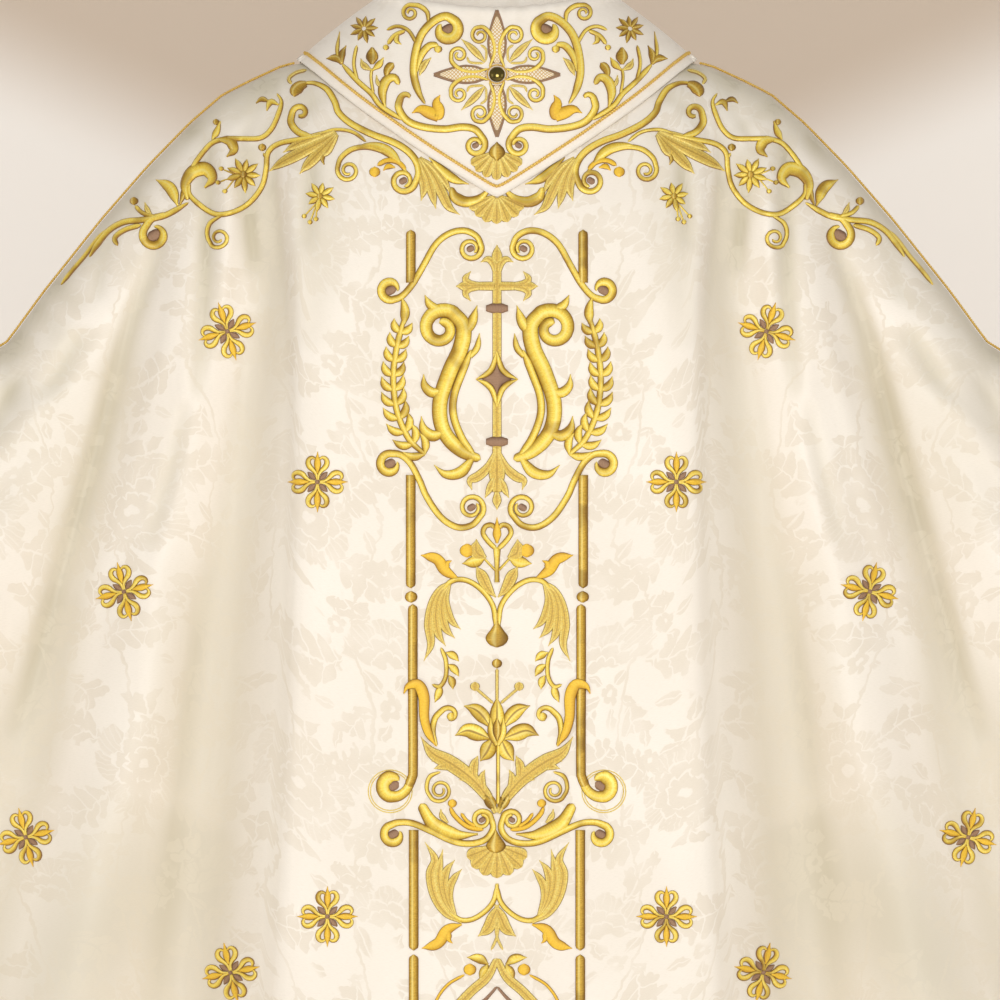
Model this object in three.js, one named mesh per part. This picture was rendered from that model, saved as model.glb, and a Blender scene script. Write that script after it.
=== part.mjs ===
// A full-cut chasuble in ivory damask with raised gold embroidery, standing out as if worn.
// Millimetres, +Z up, the front faces -Y. The origin lies between the shoulders, at the height
// where the shoulder seams meet the collar.
import * as THREE from 'three';

// Driving dimensions of the garment
const clothThickness = 2.4;
const seamGap = 0.3;
const neckHalfWidth = 158;
const collarHalfWidth = 172;
const collarRiseSide = 60;
const collarRiseFront = 43;
const collarRiseBack = 66;
const collarTopHalfWidth = 106;
const collarTopFrontDepth = 84;
const collarTopBackDepth = 66;
const rollRadius = 6;
const rollDepth = 34;
const frontVeeDepth = 121;
const backVeeDepth = 62;
const collarOverlap = 13;
const pipingRadius = 1.3;
const collarCordRadius = 1.2;
const collarCordInset = 9;
const workLift = 0.5;
const workHeight = 1.8;
const leastClearance = 0.3;
const railHalfWidth = 3.8;
const scrollHalfWidth = 2.5;
const flowerRadius = 23;
const stoneRadius = 6.4;

const panelColumnSteps = 24;
const frontRows = 20;
const backRows = 14;

const damask = new THREE.MeshStandardMaterial({ color: 0xf3ead8, roughness: 0.55, metalness: 0 });
const goldThread = new THREE.MeshStandardMaterial({ color: 0xd9ab2c, roughness: 0.38, metalness: 0.55 });
const goldCord = new THREE.MeshStandardMaterial({ color: 0xb98326, roughness: 0.5, metalness: 0.35 });
const brassStone = new THREE.MeshStandardMaterial({ color: 0x6e5a16, roughness: 0.12, metalness: 0.7 });

// The seam line over the shoulder and arm, seen from the front: height and how far it stands forward
const shoulderLine = [
  { x: 0, z: 14, y: 0 },
  { x: 90, z: 9, y: 0 },
  { x: 158, z: 2, y: 0 },
  { x: 186, z: -4, y: 0 },
  { x: 214, z: -17, y: 0 },
  { x: 238, z: -29, y: 0 },
  { x: 267, z: -54, y: 0 },
  { x: 303, z: -91, y: 0 },
  { x: 343, z: -137, y: -2 },
  { x: 393, z: -200, y: -6 },
  { x: 425, z: -244, y: -9 },
  { x: 449, z: -259, y: -12 },
  { x: 520, z: -304, y: -20 },
  { x: 600, z: -356, y: -28 },
  { x: 650, z: -392, y: -32 },
  { x: 680, z: -424, y: -34 },
];

// Lines of the drape from the centre to the side edge. top and hem give each line's ends, bend how late
// it swings outwards, reach how far the cloth stands off the seam line, drop the height in which it gets
// there, and out how far the fold stands forward at the hem.
const frontDrape = [
  { name: 'centre', topX: 0, hemX: 0, hemZ: -1250, bend: 1.0, reach: 150, drop: 300, out: 0 },
  { name: 'band edge', topX: 84, hemX: 112, hemZ: -1247, bend: 1.0, reach: 150, drop: 300, out: 3 },
  { name: 'panel edge', topX: 150, hemX: 212, hemZ: -1232, bend: 1.0, reach: 144, drop: 285, out: 12 },
  { name: 'first hollow', topX: 190, hemX: 316, hemZ: -1194, bend: 1.15, reach: 112, drop: 235, out: -40 },
  { name: 'second ridge', topX: 240, hemX: 438, hemZ: -1124, bend: 1.3, reach: 98, drop: 190, out: 24 },
  { name: 'second hollow', topX: 295, hemX: 560, hemZ: -1022, bend: 1.35, reach: 80, drop: 140, out: -38 },
  { name: 'sleeve ridge', topX: 372, hemX: 640, hemZ: -902, bend: 1.35, reach: 68, drop: 105, out: 24 },
  { name: 'sleeve hollow', topX: 465, hemX: 682, hemZ: -800, bend: 1.3, reach: 62, drop: 85, out: -24 },
  { name: 'cuff ridge', topX: 570, hemX: 697, hemZ: -715, bend: 1.2, reach: 58, drop: 75, out: 16 },
  { name: 'side edge', topX: 680, hemX: 700, hemZ: -640, bend: 1.0, reach: 52, drop: 65, out: 0 },
];
const backDrape = [
  { name: 'centre', topX: 0, hemX: 0, hemZ: -1272, bend: 1.0, reach: 96, drop: 200, out: 16 },
  { name: 'spine hollow', topX: 84, hemX: 112, hemZ: -1268, bend: 1.0, reach: 100, drop: 200, out: -16 },
  { name: 'blade ridge', topX: 150, hemX: 216, hemZ: -1250, bend: 1.0, reach: 104, drop: 200, out: 24 },
  { name: 'blade hollow', topX: 190, hemX: 318, hemZ: -1208, bend: 1.15, reach: 94, drop: 190, out: -32 },
  { name: 'arm ridge', topX: 240, hemX: 438, hemZ: -1134, bend: 1.3, reach: 84, drop: 165, out: 26 },
  { name: 'arm hollow', topX: 295, hemX: 560, hemZ: -1030, bend: 1.35, reach: 72, drop: 130, out: -34 },
  { name: 'sleeve ridge', topX: 372, hemX: 640, hemZ: -908, bend: 1.35, reach: 64, drop: 105, out: 22 },
  { name: 'sleeve hollow', topX: 465, hemX: 682, hemZ: -804, bend: 1.3, reach: 60, drop: 85, out: -24 },
  { name: 'cuff ridge', topX: 570, hemX: 697, hemZ: -717, bend: 1.2, reach: 56, drop: 75, out: 14 },
  { name: 'side edge', topX: 680, hemX: 700, hemZ: -640, bend: 1.0, reach: 50, drop: 65, out: 0 },
];
const hemFlareFront = 34;
const hemFlareBack = 62;

// A smooth value of one named column of a table, between its rows. The table is mirrored at row 0.
function between(rows, key, place) {
  const last = rows.length - 1;
  const p = Math.min(Math.max(place, 0), last);
  const k = Math.min(Math.floor(p), last - 1);
  const t = p - k;
  const odd = key === 'topX' || key === 'hemX' || key === 'x';
  const first = odd ? 2 * rows[0][key] - rows[1][key] : rows[1][key];
  const before = k > 0 ? rows[k - 1][key] : first;
  const after = k + 2 <= last ? rows[k + 2][key] : 2 * rows[last][key] - rows[last - 1][key];
  const a = rows[k][key];
  const b = rows[k + 1][key];
  const slopeA = (b - before) / 2;
  const slopeB = (after - a) / 2;
  const t2 = t * t;
  const t3 = t2 * t;
  return a * (2 * t3 - 3 * t2 + 1) + b * (3 * t2 - 2 * t3) + slopeA * (t3 - 2 * t2 + t) + slopeB * (t3 - t2);
}

// Height and forward place of the shoulder line at a distance from the centre
function shoulderAt(x, key) {
  const d = Math.abs(x);
  const last = shoulderLine.length - 1;
  let k = 0;
  while (k < last - 1 && shoulderLine[k + 1].x < d) k += 1;
  const a = shoulderLine[k];
  const b = shoulderLine[k + 1];
  const t = Math.min(Math.max((d - a.x) / (b.x - a.x), 0), 1);
  return a[key] + (b[key] - a[key]) * t;
}

// How far round the shoulder, chest or arm the cloth has come, from 0 on top to 1 where it hangs
function comeRound(share) {
  const left = 1 - Math.min(Math.max(share, 0), 1);
  return Math.sqrt(1 - left * left);
}

// The neck edge of a panel: a vee at the front and a shallow one at the back
function neckEdge(x, depth) {
  const share = Math.min(Math.abs(x) / neckHalfWidth, 1);
  const softTip = Math.sqrt(share * share + 0.012) - Math.sqrt(0.012);
  const whole = Math.sqrt(1.012) - Math.sqrt(0.012);
  return 2 - (depth - collarOverlap) * (1 - softTip / whole);
}

// The front sheet has side -1 and the back sheet side 1. place runs from 0 at the centre to 9 at the side edge.
const sheets = {
  front: { side: -1, drape: frontDrape, veeDepth: frontVeeDepth, flare: hemFlareFront },
  back: { side: 1, drape: backDrape, veeDepth: backVeeDepth, flare: hemFlareBack },
};
const lastPlace = frontDrape.length - 1;

function clothDepth(sheet, place, x, z, v) {
  const fall = shoulderAt(x, 'z') - z;
  const reach = between(sheet.drape, 'reach', place);
  const drop = between(sheet.drape, 'drop', place);
  const foldShare = Math.pow(Math.min(v / 0.85, 1), 0.9) * Math.min(Math.max(fall, 0) / 160, 1);
  const fold = between(sheet.drape, 'out', place) * foldShare;
  const stand = reach * comeRound(fall / drop) + fold + sheet.flare * v * v;
  return shoulderAt(x, 'y') * (1 - 0.5 * v) + sheet.side * (seamGap / 2 + stand);
}

// A point of a sheet's outer face
function clothPoint(sheet, signedPlace, v) {
  const place = Math.abs(signedPlace);
  const topX = between(sheet.drape, 'topX', place);
  const hemX = between(sheet.drape, 'hemX', place);
  const hemZ = between(sheet.drape, 'hemZ', place);
  const bend = between(sheet.drape, 'bend', place);
  const topZ = topX < neckHalfWidth ? neckEdge(topX, sheet.veeDepth) : shoulderAt(topX, 'z');
  const x = topX + (hemX - topX) * Math.pow(v, bend);
  const z = topZ + (hemZ - topZ) * v;
  const y = clothDepth(sheet, place, x, z, v);
  return new THREE.Vector3(Math.sign(signedPlace) * x, y, z);
}

// Where a grid's surface faces, at one of its points. outwards is a direction it leans towards.
function facing(grid, j, i, outwards) {
  const rows = grid.length;
  const cols = grid[0].length;
  const up = grid[Math.max(j - 1, 0)][i];
  const down = grid[Math.min(j + 1, rows - 1)][i];
  const left = grid[j][Math.max(i - 1, 0)];
  const right = grid[j][Math.min(i + 1, cols - 1)];
  const across = right.clone().sub(left);
  const along = down.clone().sub(up);
  const normal = across.cross(along).normalize();
  return normal.dot(outwards) < 0 ? normal.negate() : normal;
}

// A closed solid between two grids of points with the same rows and columns
function solidBetween(outer, inner, wraps = false) {
  const rows = outer.length;
  const cols = outer[0].length;
  const position = [];
  for (const grid of [outer, inner]) {
    for (const row of grid) {
      for (const p of row) position.push(p.x, p.y, p.z);
    }
  }
  const at = (layer, j, i) => layer * rows * cols + j * cols + (i % cols);
  const index = [];
  const quad = (a, b, c, d) => index.push(a, b, c, a, c, d);
  const colCells = wraps ? cols : cols - 1;
  for (let j = 0; j < rows - 1; j += 1) {
    for (let i = 0; i < colCells; i += 1) {
      quad(at(0, j, i), at(0, j, i + 1), at(0, j + 1, i + 1), at(0, j + 1, i));
      quad(at(1, j, i), at(1, j + 1, i), at(1, j + 1, i + 1), at(1, j, i + 1));
    }
  }
  for (let i = 0; i < colCells; i += 1) {
    quad(at(0, 0, i), at(1, 0, i), at(1, 0, i + 1), at(0, 0, i + 1));
    quad(at(0, rows - 1, i), at(0, rows - 1, i + 1), at(1, rows - 1, i + 1), at(1, rows - 1, i));
  }
  for (let j = 0; j < rows - 1 && !wraps; j += 1) {
    quad(at(0, j, 0), at(0, j + 1, 0), at(1, j + 1, 0), at(1, j, 0));
    quad(at(0, j, cols - 1), at(1, j, cols - 1), at(1, j + 1, cols - 1), at(0, j + 1, cols - 1));
  }
  return facingOut(position, index);
}

// A geometry whose faces point outwards
function facingOut(position, index) {
  let volume = 0;
  const point = (k) => new THREE.Vector3().fromArray(position, 3 * k);
  for (let k = 0; k < index.length; k += 3) {
    volume += point(index[k]).dot(point(index[k + 1]).cross(point(index[k + 2])));
  }
  if (volume < 0) {
    for (let k = 0; k < index.length; k += 3) [index[k + 1], index[k + 2]] = [index[k + 2], index[k + 1]];
  }
  const geometry = new THREE.BufferGeometry();
  geometry.setAttribute('position', new THREE.Float32BufferAttribute(position, 3));
  geometry.setIndex(index);
  geometry.computeVertexNormals();
  return geometry;
}

// A cloth wall inside a grid of outer points. Along the shoulder seam its edge stands upright.
function clothWall(outer, outwards, seamColumn = () => false) {
  const inner = outer.map((row, j) =>
    row.map((p, i) => {
      const normal = facing(outer, j, i, outwards);
      if (j === 0 && seamColumn(i)) normal.setY(0).normalize();
      return p.clone().addScaledVector(normal, -clothThickness);
    }),
  );
  return solidBetween(outer, inner);
}

function panelGrid(sheet, rowCount) {
  const grid = [];
  for (let j = 0; j <= rowCount; j += 1) {
    const v = Math.pow(j / rowCount, 1.75);
    const row = [];
    for (let i = -panelColumnSteps; i <= panelColumnSteps; i += 1) {
      row.push(clothPoint(sheet, (i / panelColumnSteps) * lastPlace, v));
    }
    grid.push(row);
  }
  return grid;
}

const frontGrid = panelGrid(sheets.front, frontRows);
const backGrid = panelGrid(sheets.back, backRows);
const onSeam = (i) => Math.abs(frontGrid[0][i].x) >= neckHalfWidth - 1;

// The facets of a grid, to lay embroidery on them by its place in the front view
function facetsOf(grid, outwards) {
  const facets = [];
  const add = (a, b, c) => {
    const normal = b.clone().sub(a).cross(c.clone().sub(a)).normalize();
    if (normal.dot(outwards) < 0) normal.negate();
    facets.push({ a, b, c, normal });
  };
  for (let j = 0; j < grid.length - 1; j += 1) {
    for (let i = 0; i < grid[0].length - 1; i += 1) {
      add(grid[j][i], grid[j][i + 1], grid[j + 1][i + 1]);
      add(grid[j][i], grid[j + 1][i + 1], grid[j + 1][i]);
    }
  }
  return facets;
}

// The point of the faceted face behind x, z in the front view, and where that facet faces
function under(facets, x, z) {
  let found = null;
  for (const f of facets) {
    const { a, b, c } = f;
    const area = (b.x - a.x) * (c.z - a.z) - (c.x - a.x) * (b.z - a.z);
    if (Math.abs(area) < 1e-9) continue;
    const s = ((x - a.x) * (c.z - a.z) - (c.x - a.x) * (z - a.z)) / area;
    const t = ((b.x - a.x) * (z - a.z) - (x - a.x) * (b.z - a.z)) / area;
    if (s < -1e-6 || t < -1e-6 || s + t > 1 + 1e-6) continue;
    const y = a.y + s * (b.y - a.y) + t * (c.y - a.y);
    if (!found || y < found.point.y) found = { point: new THREE.Vector3(x, y, z), normal: f.normal };
  }
  return found;
}

function raised(facets, x, z, lift) {
  const found = under(facets, x, z);
  if (!found) throw new Error(`no cloth under ${x}, ${z}`);
  return found.point.addScaledVector(found.normal, lift);
}

// How far a point stands off the cloth behind it
function standOff(facets, p) {
  const found = under(facets, p.x, p.z);
  return found ? p.clone().sub(found.point).dot(found.normal) : Infinity;
}

// How much further a flat underside has to be raised to clear the cloth between its corners
function shortfall(facets, corners) {
  const middle = corners.reduce((sum, p) => sum.add(p), new THREE.Vector3()).divideScalar(corners.length);
  const probes = [middle];
  corners.forEach((p, k) => {
    for (const t of [0.25, 0.5, 0.75]) probes.push(p.clone().lerp(corners[(k + 1) % corners.length], t));
    probes.push(p.clone().lerp(corners[(k + 2) % corners.length], 0.3));
  });
  const least = Math.min(...probes.map((p) => standOff(facets, p)));
  return Math.max(leastClearance - least, 0);
}

// An embroidered line with a domed top, along a path in the front view. halfWidth is given along it, 0 to 1.
function stitchedLine(facets, path, halfWidth, height = workHeight) {
  const side = path.map((p, k) => {
    const a = path[Math.max(k - 1, 0)];
    const b = path[Math.min(k + 1, path.length - 1)];
    return new THREE.Vector2(a.y - b.y, b.x - a.x).normalize();
  });
  const section = (k, across, lift) => {
    const w = halfWidth(k / (path.length - 1)) * across;
    return raised(facets, path[k].x + side[k].x * w, path[k].y + side[k].y * w, lift);
  };
  let lift = workLift;
  for (let k = 0; k < path.length - 1; k += 1) {
    const corners = [section(k, -1, lift), section(k, 1, lift), section(k + 1, 1, lift), section(k + 1, -1, lift)];
    lift += shortfall(facets, corners);
  }
  const across = [-1, 0, 1];
  const top = path.map((p, k) => across.map((s) => section(k, s, lift + height * (1 - 0.6 * s * s))));
  const base = path.map((p, k) => across.map((s) => section(k, s, lift)));
  return solidBetween(top, base);
}

// An embroidered motif with its outline given as points round its centre in the front view
function stitchedMotif(facets, x, z, outline, height = workHeight) {
  const count = outline.length;
  const place = (share, k, lift) => {
    const [dx, dz] = outline[k % count];
    return raised(facets, x + dx * share, z + dz * share, lift);
  };
  let lift = workLift;
  for (let k = 0; k < count; k += 1) {
    lift += shortfall(facets, [raised(facets, x, z, lift), place(0.55, k, lift), place(0.55, k + 1, lift)]);
    const ring = [place(0.55, k, lift), place(1, k, lift), place(1, k + 1, lift), place(0.55, k + 1, lift)];
    lift += shortfall(facets, ring);
  }
  const position = [];
  const put = (p) => position.push(p.x, p.y, p.z) / 3 - 1;
  const ringOf = (share, rise) => outline.map((_, k) => put(place(share, k, lift + rise)));
  const rings = [ringOf(0.55, height), ringOf(1, height * 0.4), ringOf(1, 0), ringOf(0.55, 0)];
  const crown = put(raised(facets, x, z, lift + height * 1.15));
  const foot = put(raised(facets, x, z, lift));
  const index = [];
  for (let k = 0; k < count; k += 1) {
    const n = (k + 1) % count;
    index.push(crown, rings[0][k], rings[0][n], foot, rings[3][n], rings[3][k]);
    for (let r = 0; r < 3; r += 1) {
      index.push(rings[r][k], rings[r + 1][k], rings[r + 1][n], rings[r][k], rings[r + 1][n], rings[r][n]);
    }
  }
  return facingOut(position, index);
}

// Outline points round a motif, from a radius for each of a number of steps
function roundOutline(steps, radiusAt, turn = 0) {
  return Array.from({ length: steps }, (_, k) => {
    const angle = (k / steps) * 2 * Math.PI;
    const r = radiusAt(angle);
    return [r * Math.cos(angle + turn), r * Math.sin(angle + turn)];
  });
}

// The outline of a cross with flared, pointed ends: one arm's points, turned to each of the four arms
function crossOutline(arms, half) {
  return arms.flatMap((length, k) => {
    const turn = (k * Math.PI) / 2;
    const arm = [[half, -half], [length - 2.4 * half, -2 * half], [length - 1.4 * half, -1.2 * half],
      [length, 0], [length - 1.4 * half, 1.2 * half], [length - 2.4 * half, 2 * half]];
    return arm.map(([a, b]) => [a * Math.cos(turn) - b * Math.sin(turn), a * Math.sin(turn) + b * Math.cos(turn)]);
  });
}

// A smooth path through a few points of the front view
function smoothPath(points, steps) {
  const curve = new THREE.SplineCurve(points.map(([x, z]) => new THREE.Vector2(x, z)));
  return curve.getSpacedPoints(steps);
}

// A round cord along a run of points, its ends closed. up keeps its section from turning.
function roundCord(points, radius, sides, up) {
  const rings = points.map((p, k) => {
    const a = points[Math.max(k - 1, 0)];
    const b = points[Math.min(k + 1, points.length - 1)];
    const along = b.clone().sub(a).normalize();
    const side = along.clone().cross(up).normalize();
    const rise = side.clone().cross(along).normalize();
    return Array.from({ length: sides }, (_, s) => {
      const angle = (s / sides) * 2 * Math.PI;
      const out = side.clone().multiplyScalar(Math.cos(angle)).addScaledVector(rise, Math.sin(angle));
      return p.clone().addScaledVector(out, radius);
    });
  });
  const position = rings.flat().flatMap((p) => [p.x, p.y, p.z]);
  const index = [];
  const at = (k, s) => k * sides + (s % sides);
  for (let k = 0; k < rings.length - 1; k += 1) {
    for (let s = 0; s < sides; s += 1) {
      index.push(at(k, s), at(k, s + 1), at(k + 1, s + 1), at(k, s), at(k + 1, s + 1), at(k + 1, s));
    }
  }
  for (let s = 1; s < sides - 1; s += 1) {
    index.push(at(0, 0), at(0, s + 1), at(0, s));
    index.push(at(rings.length - 1, 0), at(rings.length - 1, s), at(rings.length - 1, s + 1));
  }
  return facingOut(position, index);
}

const chasuble = new THREE.Group();
function add(name, geometry, material) {
  const mesh = new THREE.Mesh(geometry, material);
  mesh.name = name;
  chasuble.add(mesh);
}

// Front and back panels
const forwards = new THREE.Vector3(0, -1, 0.35);
const backwards = new THREE.Vector3(0, 1, 0.35);
add('front_panel', clothWall(frontGrid, forwards, onSeam), damask);
add('back_panel', clothWall(backGrid, backwards, onSeam), damask);

// The gold piping that stands in each shoulder seam, from the collar to the side edge
const firstSeamColumn = frontGrid[0].findIndex((p) => p.x > collarHalfWidth + 4);
for (const hand of [-1, 1]) {
  const seamPoints = frontGrid[0].slice(firstSeamColumn).map((p, k, all) => {
    const a = all[Math.max(k - 1, 0)];
    const b = all[Math.min(k + 1, all.length - 1)];
    const away = new THREE.Vector3(a.z - b.z, 0, b.x - a.x).normalize();
    const point = p.clone().addScaledVector(away, pipingRadius + seamGap + 0.2);
    return point.set(hand * point.x, point.y + seamGap / 2, point.z);
  });
  const name = hand < 0 ? 'shoulder_piping_left' : 'shoulder_piping_right';
  add(name, roundCord(seamPoints, pipingRadius, 6, new THREE.Vector3(0, 1, 0)), goldCord);
}

// The collar: two halves that lie on the panels, rise to the neck and roll over inwards
const collarSteps = 22;
const collarRises = [0, 0.12, 0.3, 0.5, 0.75, 1];

// The collar's lower edge lies on the cloth. angle runs from -90 degrees to 90 degrees across the front.
function collarFoot(sheet, facets, angle) {
  const share = Math.abs(Math.sin(angle));
  const x = collarHalfWidth * Math.sin(angle);
  const softTip = (Math.sqrt(share * share + 0.0016) - 0.04) / (Math.sqrt(1.0016) - 0.04);
  if (share > 0.9999) return new THREE.Vector3(x, sheet.side * seamGap, shoulderAt(x, 'z') + 0.9);
  const top = shoulderAt(x, 'z') * share;
  const climb = 0.77 * softTip + 0.23 * softTip ** 3;
  return raised(facets, x, top - sheet.veeDepth * (1 - climb), 0.7);
}

function collarHalf(sheet, facets, rise, depth) {
  const shape = (angle) => {
    const outX = Math.sin(angle);
    const outY = sheet.side * Math.cos(angle);
    const z = rise + (collarRiseSide - rise) * outX * outX - rollRadius;
    const top = new THREE.Vector3(collarTopHalfWidth * outX, depth * outY, z);
    return { foot: collarFoot(sheet, facets, angle), top, outX, outY };
  };
  const across = Array.from({ length: collarSteps + 1 }, (_, i) => shape((i / collarSteps - 0.5) * Math.PI));
  const rows = collarRises.map((w) => across.map(({ foot, top }) => foot.clone().lerp(top, w)));
  const inwards = ({ top, outX, outY }, by, up) => top.clone().add(new THREE.Vector3(-outX * by, -outY * by, up));
  for (let k = 1; k <= 4; k += 1) {
    const turn = (k / 4) * Math.PI;
    rows.push(across.map((c) => inwards(c, rollRadius * (1 - Math.cos(turn)), rollRadius * Math.sin(turn))));
  }
  rows.push(across.map((c) => inwards(c, 2 * rollRadius, -rollDepth)));
  return rows;
}

// Where the collar's face points at a grid point: outwards up to the roll, then over it and inwards
function collarFacing(grid, j, i, side) {
  const before = grid[Math.max(j - 1, 0)][i];
  const after = grid[Math.min(j + 1, grid.length - 1)][i];
  const next = grid[j][Math.min(i + 1, grid[0].length - 1)];
  const last = grid[j][Math.max(i - 1, 0)];
  const normal = next.clone().sub(last).cross(after.clone().sub(before)).normalize();
  if (side > 0) normal.negate();
  if (i === 0 || i === grid[0].length - 1) normal.setY(0).normalize();
  return normal;
}

function collarOuter(inner, side, thickness = clothThickness) {
  return inner.map((row, j) =>
    row.map((p, i) => {
      const moved = p.clone().addScaledVector(collarFacing(inner, j, i, side), thickness);
      return i === 0 || i === row.length - 1 ? moved.setY((side * seamGap) / 2) : moved;
    }),
  );
}

// Both halves keep off the plane between them
function closeOnSeam(grid, side) {
  for (const row of grid) {
    for (const p of [row[0], row[row.length - 1]]) p.y = (side * seamGap) / 2;
  }
  return grid;
}

// Raise the collar where the cloth below comes nearer than the seam gap between two of its points
function liftClear(grid, facets) {
  for (let pass = 0; pass < 3; pass += 1) {
    const short = grid.map((row) => row.map(() => 0));
    for (let j = 0; j < 3; j += 1) {
      for (let i = 0; i < grid[0].length - 1; i += 1) {
        const corners = [[j, i], [j, i + 1], [j + 1, i + 1], [j + 1, i]];
        for (const [s, t] of [[0.25, 0], [0.5, 0], [0.75, 0], [0.25, 0.5], [0.5, 0.5], [0.75, 0.5]]) {
          const low = grid[j][i].clone().lerp(grid[j][i + 1], s);
          const high = grid[j + 1][i].clone().lerp(grid[j + 1][i + 1], s);
          const need = leastClearance + 0.1 - standOff(facets, low.lerp(high, t));
          for (const [cj, ci] of corners) short[cj][ci] = Math.max(short[cj][ci], need);
        }
      }
    }
    short.forEach((row, j) =>
      row.forEach((need, i) => {
        if (need > 0) grid[j][i].add(new THREE.Vector3(0, 0, need * 1.1));
      }),
    );
  }
  return grid;
}

const mirrored = (grid) => grid.map((row) => row.map((p) => p.clone().setY(-p.y)));
const frontFacets = facetsOf(frontGrid, forwards);
const backFacets = facetsOf(mirrored(backGrid), forwards);
const backAsFront = { ...sheets.back, side: -1 };
const collarFrontRaw = collarHalf(sheets.front, frontFacets, collarRiseFront, collarTopFrontDepth);
const collarBackRaw = collarHalf(backAsFront, backFacets, collarRiseBack, collarTopBackDepth);
const collarFrontInner = closeOnSeam(liftClear(collarFrontRaw, frontFacets), -1);
const collarBackInner = closeOnSeam(mirrored(liftClear(collarBackRaw, backFacets)), 1);
const collarFrontOuter = collarOuter(collarFrontInner, -1);
const collarBackOuter = collarOuter(collarBackInner, 1);
add('collar_front', solidBetween(collarFrontOuter, collarFrontInner), damask);
add('collar_back', solidBetween(collarBackOuter, collarBackInner), damask);

// The gold cord that follows each collar half a little above its lower edge
for (const [name, grid, side] of [['collar_cord_front', collarFrontOuter, -1], ['collar_cord_back', collarBackOuter, 1]]) {
  const cord = grid[0].map((p, i) => {
    const span = grid[1][i].clone().sub(p);
    const on = p.clone().addScaledVector(span, collarCordInset / span.length());
    return on.addScaledVector(collarFacing(grid, 0, i, side), collarCordRadius + workLift);
  });
  const ends = [cord[0], cord[cord.length - 1]];
  for (const p of ends) p.y = side * (seamGap / 2 + 0.45);
  add(name, roundCord(cord, collarCordRadius, 5, new THREE.Vector3(0, 0, 1)), goldCord);
}

// The stone on the collar in its ring, with a pointed arm of embroidery on each side of it
const collarFacets = facetsOf(collarFrontOuter.slice(0, collarRises.length), forwards);
const stoneHeight = -14;
add('jewel', stitchedMotif(collarFacets, 0, stoneHeight, roundOutline(12, () => stoneRadius), 3.2), brassStone);
const ringPath = roundOutline(17, () => stoneRadius + 2.2).map(([x, z]) => new THREE.Vector2(x, stoneHeight + z));
add('jewel_setting', stitchedLine(collarFacets, ringPath, () => 1.3, 2), goldThread);
const collarArms = [
  { name: 'collar_arm_up', from: [0, -2.5], to: [0, 31] },
  { name: 'collar_arm_down', from: [0, -25.5], to: [0, -69] },
  { name: 'collar_arm_left', from: [-11, -14], to: [-54, -14] },
  { name: 'collar_arm_right', from: [11, -14], to: [54, -14] },
];
for (const { name, from, to } of collarArms) {
  const path = smoothPath([from, to], 8);
  add(name, stitchedLine(collarFacets, path, (t) => 0.6 + 7 * Math.sin(Math.PI * t), 1.6), goldThread);
}

// The lines of the front band, on the left half. Each is laid again, mirrored, on the right half.
const bandLines = [
  { name: 'rail_top', steps: 5, half: railHalfWidth, points: [[-74, -148], [-74, -186]] },
  {
    name: 'scroll_top', steps: 26, half: scrollHalfWidth,
    points: [[-87, -195], [-93, -191], [-99, -197], [-98, -205], [-91, -209], [-83, -206], [-71, -196], [-63, -179],
      [-52, -161], [-40, -151], [-28, -149], [-17, -155], [-13, -165], [-17, -174], [-26, -175], [-30, -168]],
  },
  { name: 'rail_middle', steps: 8, half: railHalfWidth, points: [[-74, -364], [-74, -455]] },
  {
    name: 'scroll_dip', steps: 26, half: scrollHalfWidth,
    points: [[-87, -352], [-92, -358], [-98, -352], [-97, -343], [-90, -339], [-81, -343], [-69, -360],
      [-60, -378], [-48, -395], [-34, -404], [-20, -402], [-12, -391], [-15, -381], [-24, -378], [-30, -384]],
  },
  {
    name: 'rail_lower', steps: 18, half: railHalfWidth,
    points: [[-72, -473], [-72, -540], [-72, -608], [-75, -622], [-83, -634], [-93, -635], [-99, -627], [-95, -619]],
  },
  {
    name: 'scroll_waist', steps: 26, half: scrollHalfWidth,
    points: [[-86, -668], [-92, -674], [-97, -668], [-96, -660], [-87, -656], [-73, -658], [-57, -665],
      [-37, -674], [-20, -676], [-9, -671], [-4, -660], [-7, -649], [-15, -646], [-20, -653], [-15, -659]],
  },
  { name: 'rail_foot', steps: 7, half: railHalfWidth, points: [[-72, -666], [-72, -766]] },
  { name: 'rail_hem', steps: 14, half: railHalfWidth, points: [[-72, -771], [-72, -1222]] },
  {
    name: 'arch', steps: 14, half: scrollHalfWidth,
    points: [[-3.4, -478], [-5, -470], [-14, -457], [-27, -449], [-40, -451], [-51, -463], [-58, -482], [-60, -508]],
  },
  {
    name: 'lyre', steps: 20, half: 4.6,
    points: [[-14, -346], [-30, -340], [-45, -322], [-48, -298], [-40, -272], [-30, -250], [-28, -230],
      [-40, -219], [-54, -226], [-57, -240], [-49, -246]],
  },
];
for (const { name, points, steps, half } of bandLines) {
  for (const hand of [-1, 1]) {
    const path = smoothPath(points.map(([x, z]) => [-hand * x, z]), steps);
    const taper = (t) => half * (0.62 + 0.38 * Math.sin(Math.PI * t));
    const width = name.startsWith('rail') ? () => half : taper;
    add(`${name}_${hand < 0 ? 'left' : 'right'}`, stitchedLine(frontFacets, path, width), goldThread);
  }
}
for (const hand of [-1, 1]) {
  const ball = stitchedMotif(frontFacets, hand * 73, -464, roundOutline(8, () => 4.8), 2.4);
  add(`rail_ball_${hand < 0 ? 'left' : 'right'}`, ball, goldThread);
}

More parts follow.
